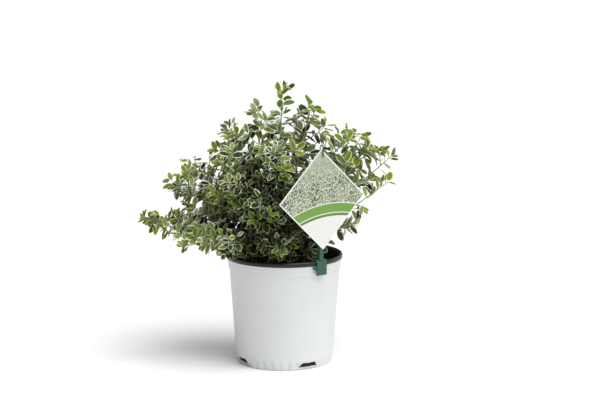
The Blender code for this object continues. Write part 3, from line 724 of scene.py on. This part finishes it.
def model_leaf(name, width, fold, curl, margins):
    """One leaf at its real size: its stalk's root at the origin, its tip along +Y, its face up.

    width: half of it in metres; fold: how high the margins rise; curl: how far the tip drops;
    margins: where the pale margin starts on each side, as shares of the half width.
    """
    deselect()
    bpy.ops.mesh.primitive_grid_add(x_subdivisions=4, y_subdivisions=5, size=2, location=(0, 0, 0))
    leaf = bpy.context.object
    bpy.ops.object.mode_set(mode="EDIT")
    rows = len(BLADE_ROWS) - 1
    for side, share in ((-1, margins[0]), (1, margins[1])):
        select_verts(leaf, lambda co: 0.4 < co.x * side < 0.6)
        bpy.ops.transform.translate(value=(side * (share - 0.5), 0, 0))
    blade = LEAF_LENGTH - LEAF_STALK
    for i, (along, across) in enumerate(BLADE_ROWS):
        row = -1 + 2 * i / rows
        select_verts(leaf, lambda co: abs(co.y - row) < 0.01)
        bpy.ops.transform.resize(value=(width * across, 1, 1), center_override=(0, row, 0))
        drop = -curl * along ** 2
        bpy.ops.transform.translate(value=(0, LEAF_STALK + blade * along - row + ASIDE, drop))
    bpy.ops.mesh.select_all(action="SELECT")
    bpy.ops.transform.translate(value=(0, -ASIDE, 0))
    bpy.ops.mesh.remove_doubles(threshold=0.0001)
    for share in (*margins, 1.0):
        for along, across in BLADE_ROWS[1:-1]:
            place = LEAF_STALK + blade * along
            select_verts(leaf, lambda co: abs(abs(co.x) - width * across * share) < 1e-5
                         and abs(co.y - place) < 1e-4)
            bpy.ops.transform.translate(value=(0, 0, fold * across * share ** 0.85))

    # the underside: a copy turned over and welded to the rim, a leaf's thickness lower inside it
    bm = bmesh.from_edit_mesh(leaf.data)
    upper = list(bm.faces)
    last_row = LEAF_STALK + blade * BLADE_ROWS[-2][0]
    for face in upper:
        at_rim = any(blade_share(corner.co, width, blade) > 0.99 for corner in face.verts)
        at_tip = face.calc_center_median().y > last_row + 0.0002
        face.material_index = int(at_rim or at_tip)
    copy = bmesh.ops.duplicate(bm, geom=upper)["geom"]
    under = [item for item in copy if isinstance(item, bmesh.types.BMFace)]
    for face in under:
        if face.material_index == 0:
            face.material_index = 2
    bmesh.ops.reverse_faces(bm, faces=under)
    for vertex in {corner for face in under for corner in face.verts}:
        at_end = not LEAF_STALK + 0.001 < vertex.co.y < LEAF_LENGTH - 0.001
        if not at_end and blade_share(vertex.co, width, blade) < 0.99:
            vertex.co.z -= LEAF_THICKNESS
    bmesh.ops.remove_doubles(bm, verts=bm.verts, dist=1e-6)
    bmesh.update_edit_mesh(leaf.data)
    shape = Shape(in_object_mode(leaf, name))
    add_stalk(shape)
    return shape


def blade_share(co, width, blade):
    """How far out a point of a row lies, from 0 on the midrib and at the ends to 1 on the rim."""
    along = (co.y - LEAF_STALK) / blade
    across = next((across for row, across in BLADE_ROWS if abs(along - row) < 0.01), 0)
    return abs(co.x) / (width * across) if across else 0.0


def add_stalk(shape):
    """A three-sided stalk from the twig to the blade's foot."""
    first = len(shape.points)
    corners = []
    for along, radius, drop in ((0.0, 0.00055, 0.0), (LEAF_STALK + 0.0012, 0.00045, 0.0001)):
        for k in range(3):
            angle = math.tau * k / 3 + math.pi / 2
            corners.append((radius * math.cos(angle), along, radius * math.sin(angle) - drop))
    shape.points = np.concatenate([shape.points, np.array(corners)])
    for k in range(3):
        after = (k + 1) % 3
        shape.faces.append((first + k, first + 3 + k, first + 3 + after, first + after))
        shape.colours.append(3)


# Growth, by the part's rule

def stem_point(height):
    """A point on the main stem's axis, at a height above its foot."""
    return CROWN + CROWN_LEAN * height


def stem_radius(height):
    """Radius of the main stem at a height above its foot."""
    for (low, low_radius), (high, high_radius) in zip(STEM_RINGS, STEM_RINGS[1:]):
        if height <= high:
            return low_radius + (high_radius - low_radius) * (height - low) / (high - low)
    return STEM_RINGS[-1][1]


def limb_path(spray):
    """Points every few millimetres from the stem's surface to the end of the leader."""
    turn = math.radians(spray.exit)
    rise = math.radians(spray.rise)
    level = Vector((math.cos(turn), math.sin(turn), 0))
    if spray.tier == "top":
        top = STEM_RINGS[-1][0]
        base = stem_point(top) + level * TOP_TIER_RADIUS + UP * CLEAR
        start = base + UP * 0.0015
    else:
        height = TIERS[spray.tier]
        surface = stem_radius(height - BOUGH_RADIUS) + CROWN_LEAN.x * BOUGH_RADIUS
        base = stem_point(height) + level * (surface + CLEAR)
        start = base + level * 0.0015
    tip = Vector(spray.tip)
    reach = (tip - start).length
    outward = Vector((tip.x - start.x, tip.y - start.y, 0)).normalized()
    slope = math.radians(spray.arrive)
    leave = level * math.cos(rise) + UP * math.sin(rise)
    arrive = outward * math.cos(slope) + UP * math.sin(slope)
    curve = interpolate_bezier(
        start, start + leave * reach * 0.36, tip - arrive * reach * 0.34, tip, 61)
    return [base] + curve


def resample(path, first, last, count):
    """Points at equal steps between two fractions of a path's length."""
    lengths = [0.0]
    for start, end in zip(path, path[1:]):
        lengths.append(lengths[-1] + (end - start).length)
    points = []
    for i in range(count):
        wanted = lengths[-1] * (first + (last - first) * i / (count - 1))
        k = next((k for k in range(1, len(lengths)) if lengths[k] >= wanted), len(lengths) - 1)
        share = (wanted - lengths[k - 1]) / max(lengths[k] - lengths[k - 1], 1e-9)
        points.append(path[k - 1].lerp(path[k], min(max(share, 0), 1)))
    return points


def path_length(path):
    """Length of a path."""
    return sum((end - start).length for start, end in zip(path, path[1:]))


def taper(start, end, count):
    """Radii that shrink evenly."""
    return [start + (end - start) * i / (count - 1) for i in range(count)]


def side_of(direction, turn):
    """A unit vector square to a direction, turned about it."""
    first = direction.cross(UP)
    if first.length < 0.1:
        first = direction.cross(Vector((0, 1, 0)))
    return Matrix.Rotation(turn, 3, direction) @ first.normalized()


def shoot_path(leader, fraction, turn, length):
    """A side shoot: it leaves the leader at an angle and bends up towards the light."""
    point, ahead = resample(leader, fraction, min(fraction + 0.02, 1), 2)
    direction = (ahead - point).normalized()
    leave = (direction * 0.55 + side_of(direction, turn) * 0.85).normalized()
    if leave.z < -0.15:
        leave.z *= -0.4
        leave.normalize()
    outward = Vector((point.x, point.y, 0)).normalized()
    lift = (UP * 0.85 + outward * 0.25 + leave * 0.4).normalized()
    bend = point + leave * length * 0.5
    end = bend + (leave * 0.45 + lift * 0.75).normalized() * length * 0.5
    return interpolate_bezier(point, point + leave * length * 0.3, bend, end, SHOOT_POINTS)


def side_shoots(spray, leaders, taken):
    """Seeded side shoots of one leader, each turned to where it has room."""
    rng = random.Random(spray.seed)
    leader = leaders[spray.name]
    turn = rng.uniform(0, math.tau)
    shoots = []
    for i in range(spray.shoots):
        fraction = 0.04 + 0.80 * (i + rng.uniform(0.1, 0.7)) / spray.shoots
        length = spray.reach * (1.05 - 0.5 * fraction) * rng.uniform(0.8, 1.1)
        for attempt in range(SHOOT_TRIES):
            turn += math.radians(137.5) + rng.uniform(-0.3, 0.3)
            path = shoot_path(leader, fraction, turn, length * (1 - 0.05 * attempt))
            own_line = owner(path[-1], leaders) == spray.name
            if own_line and free_to_stand(path) and has_room(path, taken):
                shoots.append(path)
                taken.append(resample(path, 0.15, 1, 8))
                break
    return shoots


def has_room(path, taken):
    """Whether a shoot stays clear of every limb whose middle line is given."""
    points = resample(path, 0.15, 1, 8)
    near = (min((a - b).length_squared for a in points for b in line) for line in taken)
    return all(distance > SHOOT_CLEAR ** 2 for distance in near)


def zone(point):
    """Which free space round the pot a point lies in, if any."""
    radius = math.hypot(point.x, point.y)
    if point.z > POT_HEIGHT + 0.0020:
        return "above"
    if radius < inner_radius(SOIL_TOP) - 0.0030 and point.z > SOIL_TOP + 0.0025:
        return "inside"
    if radius > RIM_RADIUS + 0.0030 and point.z > 0.0:
        return "outside"
    return None


def clear_of_label(point):
    """Whether a point is out of the space in front of the card and round its stake."""
    local = Matrix.Rotation(-HOLDER_ANGLE, 3, "Z") @ point
    reach = -local.y
    half = CARD_SIDE / math.sqrt(2) + 0.006
    over_card = abs(local.x) + abs(local.z - CARD_HEIGHT) < half
    if over_card and reach > CHANNEL_FACE - 0.014:
        return False
    near_stake = abs(local.x) < CLIP_WIDTH / 2 + 0.008
    return not (near_stake and reach > CHANNEL_FACE - CHANNEL_DEPTH - 0.006)


def free_to_stand(points):
    """Whether a leaf or shoot with these corners keeps clear of the pot, the mix and the label."""
    zones = {zone(point) for point in points}
    return len(zones) == 1 and None not in zones and all(clear_of_label(point) for point in points)


def leaf_is_free(points):
    """Whether a leaf with these corners lies wholly over the mix, above the rim or outside the pot."""
    radii = [math.hypot(point.x, point.y) for point in points]
    lowest = min(point.z for point in points)
    over_mix = max(radii) < inner_radius(SOIL_TOP) - 0.0020 and lowest > SOIL_TOP + 0.0020
    above = lowest > POT_HEIGHT + 0.0015
    outside = min(radii) > RIM_RADIUS + 0.0020 and lowest > 0.0
    return (over_mix or above or outside) and all(clear_of_label(point) for point in points)


def owner(point, leaders):
    """Name of the spray whose leader passes nearest to a point."""
    return min(leaders, key=lambda name: min((p - point).length_squared for p in leaders[name]))


# Finer growth, which only this script makes

STUB = 0.0016                   # a fine shoot with less stem than this below its last leaf is left out
YOUNG_TIP = 0.008               # nearer to a shoot's tip than this, its leaves have the young shape
FRESH_TIP = 0.011               # and nearer than this they are yellow-green on a fresh shoot
PALE_EDGED_FROM = -0.09         # the broad margins, partly painted light, grow further left than this
SPARE = 0.006                   # how far leaves may pass the part's own box
DARK_CENTRE = Vector((-0.019, 0.0, 0.270))
DARK_REACH = (0.135, 0.165, 0.220)  # how far the shade reaches from there: sideways, up and down
FRESH_CHANCE = (0.16, 0.40)     # of a fresh shoot: everywhere, and more of it with daylight
FRESH_LIGHT = 0.45              # past this much daylight
# where leaves are lit: right of and above the first, above the second, left of the third
RIGHT_SIDE = (0.08, 0.33)
CROWN_FROM = 0.37
LEFT_SIDE = -0.085
# daylight past which leaves are lit in the crown and on the left, and elsewhere of mixed ages, then
# past which they are darker; with less than that they stand in deep shade
CROWN_LIGHT = 0.90
LEFT_LIGHT = 0.66
MIXED_LIGHT = 0.75
HALF_LIGHT = 0.52
LEAF_SIZES = (0.84, 1.10)       # smallest and largest, as shares of what its place asks for
LEAF_WIDTHS = (0.88, 1.10)      # narrowest and widest
YOUNG_SPREAD = (0.66, 0.34, 0.018)  # of a leaf's angle: its share at the tip, the rest, and by what distance
# how much a leaf's face turns up, outwards, and to the plant's own front or back, and how far it strays
FACE_UP = 0.45
FACE_OUT = 0.42
FACE_FRONT = -0.42
FACE_BACK = 0.25
FRONT_UNTIL = 0.04              # leaves nearer to the front than this turn to it
FACE_STRAY = 0.62
# How a spray grows: the gap between its leaf pairs, the size of its leaves and of its youngest ones,
# the chance of a twig in an axil on limbs and on fine shoots, how far from the tip twigs start, their reach
Habit = namedtuple("Habit", "gap leaf_size young_size limb_twigs shoot_twigs twigs_from twig_reach")
AIRY_HABIT = Habit(NODE_GAP * 1.15, 1.0, 0.78, 0.40, 0.15, 0.040, 0.020)
FULL_HABIT = Habit(NODE_GAP, 1.0, 0.62, 0.75, 0.35, 0.012, 0.048)
SMALL_HABIT = Habit(NODE_GAP * 0.85, 0.90, 0.62, 0.75, 0.35, 0.012, 0.048)
Growth = namedtuple("Growth", "habit leaves twigs blades rng")
# fine shoots that fill a spray out: how many, between which fractions of its leader, and their length
FILLING = (
    ("top_left", 3, 0.55, 0.92, 0.040),
    ("top_right", 3, 0.35, 0.80, 0.045),
    ("front_upper", 4, 0.10, 0.94, 0.060),
    ("shoulder_left", 4, 0.35, 0.94, 0.050),
    ("shoulder_front", 4, 0.25, 0.94, 0.055),
    ("left_upper", 4, 0.20, 0.94, 0.055),
    ("left_outer", 6, 0.10, 0.94, 0.050),
    ("left_long", 8, 0.08, 0.42, 0.060),
    ("left_long", 5, 0.45, 0.90, 0.034),
    ("left_low", 8, 0.05, 0.94, 0.050),
    ("front_left", 7, 0.05, 0.94, 0.048),
    ("front_centre", 5, 0.05, 0.94, 0.055),
    ("front_low", 6, 0.05, 0.94, 0.045),
    ("front_right", 7, 0.05, 0.94, 0.055),
    ("right_shoulder", 9, 0.20, 0.98, 0.060),
    ("right_upper", 7, 0.15, 0.80, 0.064),
    ("right_low", 3, 0.30, 0.90, 0.036),
)
# fine shoots placed by the photo: their spray, where on its leader they start, and their tip
PLACED = (
    ("top_centre", 0.94, (0.006, -0.004, 0.521)),
    ("top_left", 0.50, (-0.108, 0.000, 0.448)),
    ("top_right", 0.55, (0.078, 0.022, 0.452)),
    ("top_right", 0.80, (0.053, 0.004, 0.495)),
    ("shoulder_left", 0.60, (-0.130, -0.006, 0.410)),
    ("right_shoulder", 0.55, (0.104, 0.000, 0.440)),
    ("right_shoulder", 0.75, (0.120, 0.015, 0.436)),
    ("right_upper", 0.35, (0.128, 0.030, 0.438)),
    ("right_upper", 0.60, (0.146, 0.040, 0.428)),
    ("left_long", 0.93, (-0.268, 0.000, 0.281)),
    ("left_long", 0.20, (-0.172, -0.020, 0.300)),
    ("left_long", 0.35, (-0.186, 0.020, 0.302)),
    ("left_outer", 0.30, (-0.158, -0.010, 0.296)),
)
# low shoots from the bare part of a bough, which cover the mix
BASAL = {
    "front_upper": 6,
    "front_left": 6,
    "front_centre": 8,
    "front_low": 12,
    "front_right": 16,
    "left_low": 6,
    "left_long": 6,
    "right_low": 7,
    "shoulder_front": 5,
    "back_right": 5,
}
# sprays whose stems show between their leaf pairs
AIRY = (
    "top_centre", "top_right", "top_left", "right_shoulder",
    "right_upper", "right_middle", "right_outer", "right_low",
)
# low sprays with small leaves that stand close
SMALL = ("left_long", "left_low", "front_left", "front_low", "left_outer")
# places on the plane of the pot's axis where sky shows between the shoots: (x, z, radius), read off the
# photo
OPENINGS = (
    # between the crown's tips
    (-0.088, 0.483, 0.010), (-0.030, 0.514, 0.018), (-0.028, 0.488, 0.012), (-0.036, 0.462, 0.008),
    (-0.004, 0.474, 0.012), (0.018, 0.479, 0.008), (0.027, 0.506, 0.016), (0.064, 0.496, 0.008),
    (0.084, 0.460, 0.008), (0.126, 0.412, 0.008),
    # between the shoots of the crown
    (-0.073, 0.407, 0.008), (0.007, 0.397, 0.007), (0.032, 0.407, 0.008), (0.106, 0.400, 0.012),
    # along the right side
    (0.124, 0.451, 0.008), (0.143, 0.445, 0.008), (0.176, 0.432, 0.016), (0.178, 0.369, 0.008),
    (0.195, 0.318, 0.026), (0.159, 0.307, 0.016), (0.165, 0.297, 0.009), (0.165, 0.262, 0.024),
    (0.089, 0.237, 0.008),
    # down the left side
    (-0.110, 0.472, 0.014), (-0.082, 0.460, 0.010), (-0.136, 0.446, 0.015), (-0.158, 0.414, 0.012),
    (-0.147, 0.392, 0.011), (-0.130, 0.357, 0.008), (-0.181, 0.410, 0.020), (-0.206, 0.398, 0.017),
    (-0.208, 0.374, 0.008), (-0.218, 0.380, 0.014), (-0.237, 0.366, 0.015), (-0.165, 0.350, 0.010),
    (-0.252, 0.312, 0.020), (-0.232, 0.287, 0.012), (-0.217, 0.344, 0.008), (-0.184, 0.342, 0.007),
    (-0.163, 0.299, 0.008), (-0.272, 0.259, 0.008), (-0.172, 0.212, 0.014),
)


def directions_of(points):
    """The way the path runs at each of its points."""
    found = [(points[1] - points[0]).normalized()]
    for before, after in zip(points, points[2:]):
        found.append((after - before).normalized())
    found.append((points[-1] - points[-2]).normalized())
    return found


def tube(points, radii, sides, relief=0.0, scale=1.0):
    """Corners and faces of a capped tube along a path, with the bark's relief if asked."""
    directions = directions_of(points)
    turn = directions[0].to_track_quat("Z", "Y").to_matrix()
    corners = []
    for place, radius, direction in zip(points, radii, directions):
        turn = turn.col[2].rotation_difference(direction).to_matrix() @ turn
        for k in range(sides):
            angle = math.tau * k / sides
            spoke = turn @ Vector((math.cos(angle), math.sin(angle), 0))
            ridge = 0.0
            if relief:
                spot = place + spoke * radius
                ridge = relief * noise.noise(Vector((spot.x, spot.y, spot.z * 0.35)) * scale)
            corners.append(place + spoke * (radius + ridge))
    faces = []
    for i in range(len(points) - 1):
        for k in range(sides):
            after = (k + 1) % sides
            faces.append((i * sides + k, i * sides + after, (i + 1) * sides + after, (i + 1) * sides + k))
    faces.append(tuple(reversed(range(sides))))
    last = (len(points) - 1) * sides
    faces.append(tuple(range(last, last + sides)))
    return np.array(corners), faces


def axil_twig(point, direction, side, length):
    """A fine twig from a leaf's axil: it leaves at an angle and turns up towards the light."""
    leave = (direction * 0.75 + side * 0.75).normalized()
    outward = Vector((point.x, point.y, 0)).normalized()
    lift = (UP * 0.7 + outward * 0.3 + direction * 0.4).normalized()
    bend = point + leave * length * 0.55
    end = bend + (leave * 0.5 + lift * 0.7).normalized() * length * 0.45
    return interpolate_bezier(point, point + leave * length * 0.35, bend, end, 4)


def leaf_place(point, direction, side, size, spread, rng):
    """Place of a leaf with its stalk on its twig: its blade sags a little, its face is up and outwards."""
    angle = LEAF_ANGLE * spread + rng.uniform(-0.20, 0.20)
    blade = (direction * math.cos(angle) + side * math.sin(angle)).normalized()
    outward = Vector((point.x, point.y, 0)).normalized()
    blade.z -= spread * (0.06 + 0.42 * max(blade.dot(outward), 0)) * rng.uniform(0.5, 1.3)
    blade.normalize()
    face = (direction * math.sin(angle) - side * math.cos(angle)) * 0.6
    # towards the light: up, outwards, and on the front of the plant a little to its front
    forward = FACE_FRONT if point.y < FRONT_UNTIL else FACE_BACK
    face += UP * FACE_UP + outward * FACE_OUT + Vector((0, forward, 0))
    face += Vector([rng.uniform(-FACE_STRAY, FACE_STRAY) for axis in range(3)])
    face = (face - blade * face.dot(blade)).normalized()
    width = blade.cross(face).normalized() * rng.uniform(*LEAF_WIDTHS)
    columns = Matrix((width * size, blade * size, face * size)).transposed().to_4x4()
    return Matrix.Translation(point + side * TWIG_RADIUS * 0.6) @ columns


def within_reach(point):
    """Whether a point stays in the part's own box, with a few millimetres to spare."""
    low, high = CAD_BOX
    return all(low[k] - SPARE < point[k] < high[k] + SPARE for k in range(3))


def daylight(point):
    """How open a place is, from 0 deep inside the front to 1 and more at the outline."""
    out = point - DARK_CENTRE
    sideways, up, down = DARK_REACH
    return math.hypot(out.x / sideways, out.z / (up if out.z > 0 else down))


def age_and_light_of(point, rng):
    """Age and painted light of a leaf by its place: painted light above and on the right, and inside painted
    shade, dark with pale margins.
    """
    light = daylight(point) + rng.uniform(-0.18, 0.18)
    if point.x > RIGHT_SIDE[0] and point.z > RIGHT_SIDE[1]:
        return rng.choice(("lit", "lit", "lit", "fresh", "green"))
    if light > CROWN_LIGHT and point.z > CROWN_FROM:
        return rng.choice(("lit", "lit", "lit", "green", "old"))
    if point.x < LEFT_SIDE and light > LEFT_LIGHT:
        return rng.choice(("lit", "lit", "lit", "green", "fresh", "old"))
    if light > MIXED_LIGHT:
        return rng.choice(("old", "old", "green", "green", "lit"))
    if light > HALF_LIGHT:
        return rng.choice(("old", "shade", "green", "shade"))
    # deep inside, painted shade, with now and then a pale leaf as a painted highlight
    return rng.choice(("shade",) * 11 + ("pale",))


def seen_at(point):
    """Where a point shows in the photo, on the plane through the pot's axis: (x, z) in metres."""
    away = CAMERA.y / (CAMERA.y - point.y)
    return CAMERA.x + (point.x - CAMERA.x) * away, CAMERA.z + (point.z - CAMERA.z) * away


def open_to_sky(point):
    """Whether the photo shows sky between the limbs at a point."""
    x, z = seen_at(point)
    return any((x - sky_x) ** 2 + (z - sky_z) ** 2 < radius ** 2 for sky_x, sky_z, radius in OPENINGS)


def habit_of(spray):
    """How a spray grows."""
    if spray.name in AIRY:
        return AIRY_HABIT
    return SMALL_HABIT if spray.name in SMALL else FULL_HABIT


def node_places(length, first, gap, rng):
    """Distances from a shoot's tip where its leaf pairs stand, closer together towards the tip."""
    places = [0.0008]
    step = 0.30 * gap
    while places[-1] + step < length * (1 - first):
        places.append(places[-1] + step * rng.uniform(0.85, 1.15))
        step = min(step + 0.25 * gap, gap)
    return places


def add_stem(growth, path, bare, thick, sides):
    """A fine shoot's stem, cut back to its last leaf; False where no leaf is left on it."""
    length = path_length(path)
    if bare > length - STUB:
        return False
    kept = resample(path, 0, 1 - max(bare - STUB / 2, 0) / length, len(path))
    growth.twigs.add_tube(kept, taper(thick, TWIG_RADIUS, len(kept)), sides)
    return True


def grow_leaves(growth, path, first, gap, axils):
    """Leaf pairs along a stalk, and fine twigs from their axils; returns how long its tip is bare."""
    rng = growth.rng
    habit = growth.habit
    length = path_length(path)
    bare = length
    turn = rng.uniform(0, math.tau)
    tint = rng.randrange(3)
    fresh = rng.random() < FRESH_CHANCE[0] + FRESH_CHANCE[1] * max(daylight(path[-1]) - FRESH_LIGHT, 0)
    for to_tip in node_places(length, first, gap, rng):
        start = min(1 - to_tip / length, 0.985)
        point, ahead = resample(path, start, start + 0.015, 2)
        direction = (ahead - point).normalized()
        # towards the tip the leaves are smaller and stand closer to the shoot
        size = habit.young_size + (1 - habit.young_size) * min(to_tip / YOUNG_LENGTH, 1)
        spread = YOUNG_SPREAD[0] + YOUNG_SPREAD[1] * min(to_tip / YOUNG_SPREAD[2], 1)
        turn += math.pi / 2 + rng.uniform(-0.2, 0.2)
        side = side_of(direction, turn)
        for sign in (1, -1):
            leaf_size = size * rng.uniform(*LEAF_SIZES) * habit.leaf_size
            matrix = leaf_place(point, direction, side * sign, leaf_size, spread, rng)
            tip = matrix @ Vector((0, LEAF_LENGTH, 0))
            left = matrix @ Vector((LEAF_HALF_WIDTH, LEAF_LENGTH * 0.5, 0))
            right = matrix @ Vector((-LEAF_HALF_WIDTH, LEAF_LENGTH * 0.5, 0))
            age_and_light = age_and_light_of(tip, rng)
            # a fresh tip in the painted shade takes the painted shaded copy of the fresh colour
            if fresh and to_tip < FRESH_TIP:
                age_and_light = "fresh_in_shade" if age_and_light in ("shade", "pale") else "fresh"
            kind = YOUNG_KIND
            if to_tip > YOUNG_TIP:
                kind = rng.choice(FLAT_KINDS if tip.x > PALE_EDGED_FROM else PALE_EDGED_KINDS)
            free = leaf_is_free((point, tip, left, right)) and within_reach(tip)
            if free and not open_to_sky(matrix @ Vector((0, LEAF_LENGTH * 0.6, 0))):
                slots = leaf_slots(age_and_light, rng.choice((tint, tint, rng.randrange(3))))
                growth.leaves.add(growth.blades[kind], matrix, slots)
                bare = min(bare, to_tip)
            if to_tip < habit.twigs_from or rng.random() > axils:
                continue
            reach = min(habit.twig_reach, 0.010 + 0.45 * to_tip) * rng.uniform(0.45, 1.0)
            twig = axil_twig(point, direction, side * sign, reach)
            if leaf_is_free(twig) and within_reach(twig[-1]):
                end = grow_leaves(growth, twig, 0.40, gap * 0.9, 0.0)
                if add_stem(growth, twig, end, TWIG_RADIUS * 1.2, 4):
                    bare = min(bare, to_tip)
    return bare


def add_twig(growth, points):
    """The stem and leaves of one fine shoot."""
    bare = grow_leaves(growth, points, 0.25, growth.habit.gap, growth.habit.shoot_twigs)
    add_stem(growth, points, bare, SHOOT_RADIUS * 0.8, 4)


def add_shoot(growth, limb, fraction, length):
    """One more fine shoot on a limb, with its leaves, turned to where it is free to stand."""
    for attempt in range(SHOOT_TRIES):
        twig = shoot_path(limb, fraction, growth.rng.uniform(0, math.tau), length)
        if leaf_is_free(twig) and all(within_reach(point) for point in twig):
            add_twig(growth, resample(twig, 0, 1, 5))
            return


def add_placed(growth, leader, fraction, tip):
    """A fine shoot that ends at a given place."""
    start, ahead = resample(leader, fraction, fraction + 0.02, 2)
    lift = (tip - start) * 0.4
    leave = start + (ahead - start).normalized() * lift.length * 0.5
    arrive = tip - lift - UP * lift.length * 0.4
    add_twig(growth, interpolate_bezier(start, leave, arrive, tip, 7))


def build_plant():
    """Every limb with its bark, then the green twigs, then each spray's leaves."""
    blades = [model_leaf(*values) for values in LEAF_SHAPES]
    paths = {spray.name: limb_path(spray) for spray in SPRAYS}
    leaders = {}
    lines = {}
    for spray in SPRAYS:
        path = paths[spray.name]
        gap = CLEAR / path_length(path)
        leaders[spray.name] = resample(path, spray.bare + gap, 1, LEADER_POINTS)
        lines[spray.name] = resample(path, 0, 1, 40)
    shoots = {}
    shoot_lines = []
    for spray in SPRAYS:
        others = [line for name, line in lines.items() if name != spray.name]
        taken = others + shoot_lines
        shoots[spray.name] = side_shoots(spray, leaders, taken)
        shoot_lines = taken[len(others):]

    bark = Joined("bark_limbs")
    heights = [STEM_RINGS[-1][0] * i / 16 for i in range(17)]
    points = [stem_point(height) for height in heights]
    radii = [stem_radius(height) for height in heights]
    corners, faces = tube(points, radii, 24, BARK_RIDGE * 1.6, 300)
    # the leaning foot is cut level just over the mix
    corners[:, 2] = np.maximum(corners[:, 2], SOIL_TOP + 0.0001)
    bark.add_raw(corners, faces, [0] * len(faces))
    for spray in SPRAYS:
        path = paths[spray.name]
        points = resample(path, 0, spray.bare, 22)
        joint = BOUGH_RADIUS + (TIP_RADIUS - BOUGH_RADIUS) * spray.bare
        bark.add_tube(points, taper(BOUGH_RADIUS, joint, len(points)), 10, BARK_RIDGE, 900)
    limbs = bark.build([young_bark()])
    smooth(limbs, 60)
    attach(limbs, "root")
    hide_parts("main_stem", *("bough_" + spray.name for spray in SPRAYS))

    twigs = Joined("green_twigs")
    leaf_colours = leaf_materials()
    for spray in SPRAYS:
        rng = random.Random(spray.seed + 500)
        leaves = Joined("leaves_" + spray.name)
        habit = habit_of(spray)
        growth = Growth(habit, leaves, twigs, blades, rng)
        path = paths[spray.name]
        leader = resample(path, spray.bare, 1, 16)
        joint = BOUGH_RADIUS + (TIP_RADIUS - BOUGH_RADIUS) * spray.bare
        twigs.add_tube(leader, taper(joint, TIP_RADIUS * 0.8, len(leader)), 6)
        grow_leaves(growth, leader, 0.02, habit.gap * 1.1, habit.limb_twigs)
        for shoot in shoots[spray.name]:
            points = resample(shoot, 0, 1, 6)
            bare = grow_leaves(growth, points, 0.22, habit.gap, habit.limb_twigs * 0.7)
            add_stem(growth, points, bare, SHOOT_RADIUS, 5)
        for name, count, first, last, reach in FILLING:
            for i in range(count if name == spray.name else 0):
                fraction = first + (last - first) * (i + rng.uniform(0.1, 0.9)) / count
                length = reach * rng.uniform(0.75, 1.1)
                add_shoot(growth, leader, fraction, length)
        for name, fraction, tip in PLACED:
            if name == spray.name:
                add_placed(growth, leader, fraction, Vector(tip))
        bough = resample(path, 0, spray.bare, 16)
        for i in range(BASAL.get(spray.name, 0)):
            fraction = rng.uniform(0.25, 0.98)
            add_shoot(growth, bough, fraction, rng.uniform(0.030, 0.052))
        made = leaves.build(leaf_colours)
        smooth(made, 50)
        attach(made, "root")
        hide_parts("foliage_" + spray.name)
    made = twigs.build([green_twig()])
    smooth(made, 60)
    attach(made, "root")


# Label

def card_place():
    """Where the card's own plane lies: its middle, with +X across it and +Y up it."""
    place = Matrix.Rotation(HOLDER_ANGLE, 4, "Z") @ Matrix.Translation((0, -CARD_REACH, CARD_HEIGHT))
    turn = Matrix.Rotation(CARD_YAW - HOLDER_ANGLE, 4, "Z")
    upright = Matrix.Rotation(math.pi / 2, 4, "X")
    return place @ turn @ upright @ Matrix.Rotation(CARD_ROLL, 4, "Z")


def card_point(across, up):
    """A point in the card's plane, in the frame."""
    return card_place() @ Vector((across, up, CARD_THICKNESS / 2))


def build_card():
    """The square card on its corner: a white border round its printed side, and a plain back."""
    card = new_block((CARD_SIDE, CARD_SIDE, CARD_THICKNESS))
    # the four short edges are the card's corners
    select_parts(card, "edges", lambda edge: edge.calc_length() < CARD_THICKNESS * 2)
    bpy.ops.mesh.bevel(offset=CARD_CORNER, segments=5, affect="EDGES")
    select_parts(card, "faces", lambda face: face.normal.z > 0.9)
    bpy.ops.mesh.inset(thickness=CARD_BORDER)
    bm = bmesh.from_edit_mesh(card.data)
    for face in bm.faces:
        face.material_index = int(face.select)
    bmesh.update_edit_mesh(card.data)
    bpy.ops.object.mode_set(mode="OBJECT")
    card.data.materials.append(card_white())
    card.data.materials.append(card_print())
    card.matrix_world = card_place() @ Matrix.Rotation(math.pi / 4, 4, "Z")
    bpy.ops.object.transform_apply(location=True, rotation=True, scale=True)
    card.name = "blank_card"
    smooth(card, 30)
    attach(card, "root")
    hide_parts("label_card")


def finish_holder():
    """The part's own clip, stake and hook, in their moulded finish."""
    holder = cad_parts["label_holder"]
    green = moulded_green()
    for k in range(max(len(holder.material_slots), 1)):
        if k < len(holder.material_slots):
            holder.material_slots[k].material = green
        else:
            holder.data.materials.append(green)


# Studio

def build_studio():
    """White paper floor, bright surroundings, one large soft light, and the camera at the photo's angle."""
    deselect()
    bpy.ops.mesh.primitive_plane_add(size=60, location=(0, 0, -0.0005))
    paper = in_object_mode(bpy.context.object, "paper_floor")
    paper.data.materials.append(floor_paper())

    world = bpy.data.worlds.new("Studio")
    world.use_nodes = True
    tree = world.node_tree
    way = add_node(tree, "ShaderNodeTexCoord")
    parts = add_node(tree, "ShaderNodeSeparateXYZ", {0: way.outputs["Generated"]})
    strength = ranged(tree, parts.outputs["X"], -1.0, 1.0, *SKY_STRENGTH)
    tree.links.new(strength, tree.nodes["Background"].inputs["Strength"])
    tree.nodes["Background"].inputs["Color"].default_value = (1, 1, 1, 1)
    bpy.context.scene.world = world

    soft_box = bpy.data.objects.new("soft_box", bpy.data.lights.new("soft_box", "SUN"))
    soft_box.data.energy = LIGHT_STRENGTH
    soft_box.data.angle = LIGHT_SPREAD
    soft_box.rotation_euler = LIGHT_WAY.to_track_quat("-Z", "Y").to_euler()
    bpy.context.scene.collection.objects.link(soft_box)

    bpy.context.scene.view_settings.view_transform = "Standard"
    camera = bpy.data.objects.new("camera", bpy.data.cameras.new("camera"))
    camera.data.sensor_width = 36
    camera.data.lens = CAMERA_LENS
    camera.location = CAMERA
    camera.rotation_euler = (math.pi / 2 - CAMERA_PITCH, 0, 0)
    bpy.context.scene.collection.objects.link(camera)
    bpy.context.scene.camera = camera


build_pot()
build_potting_mix()
build_plant()
build_card()
finish_holder()
build_studio()
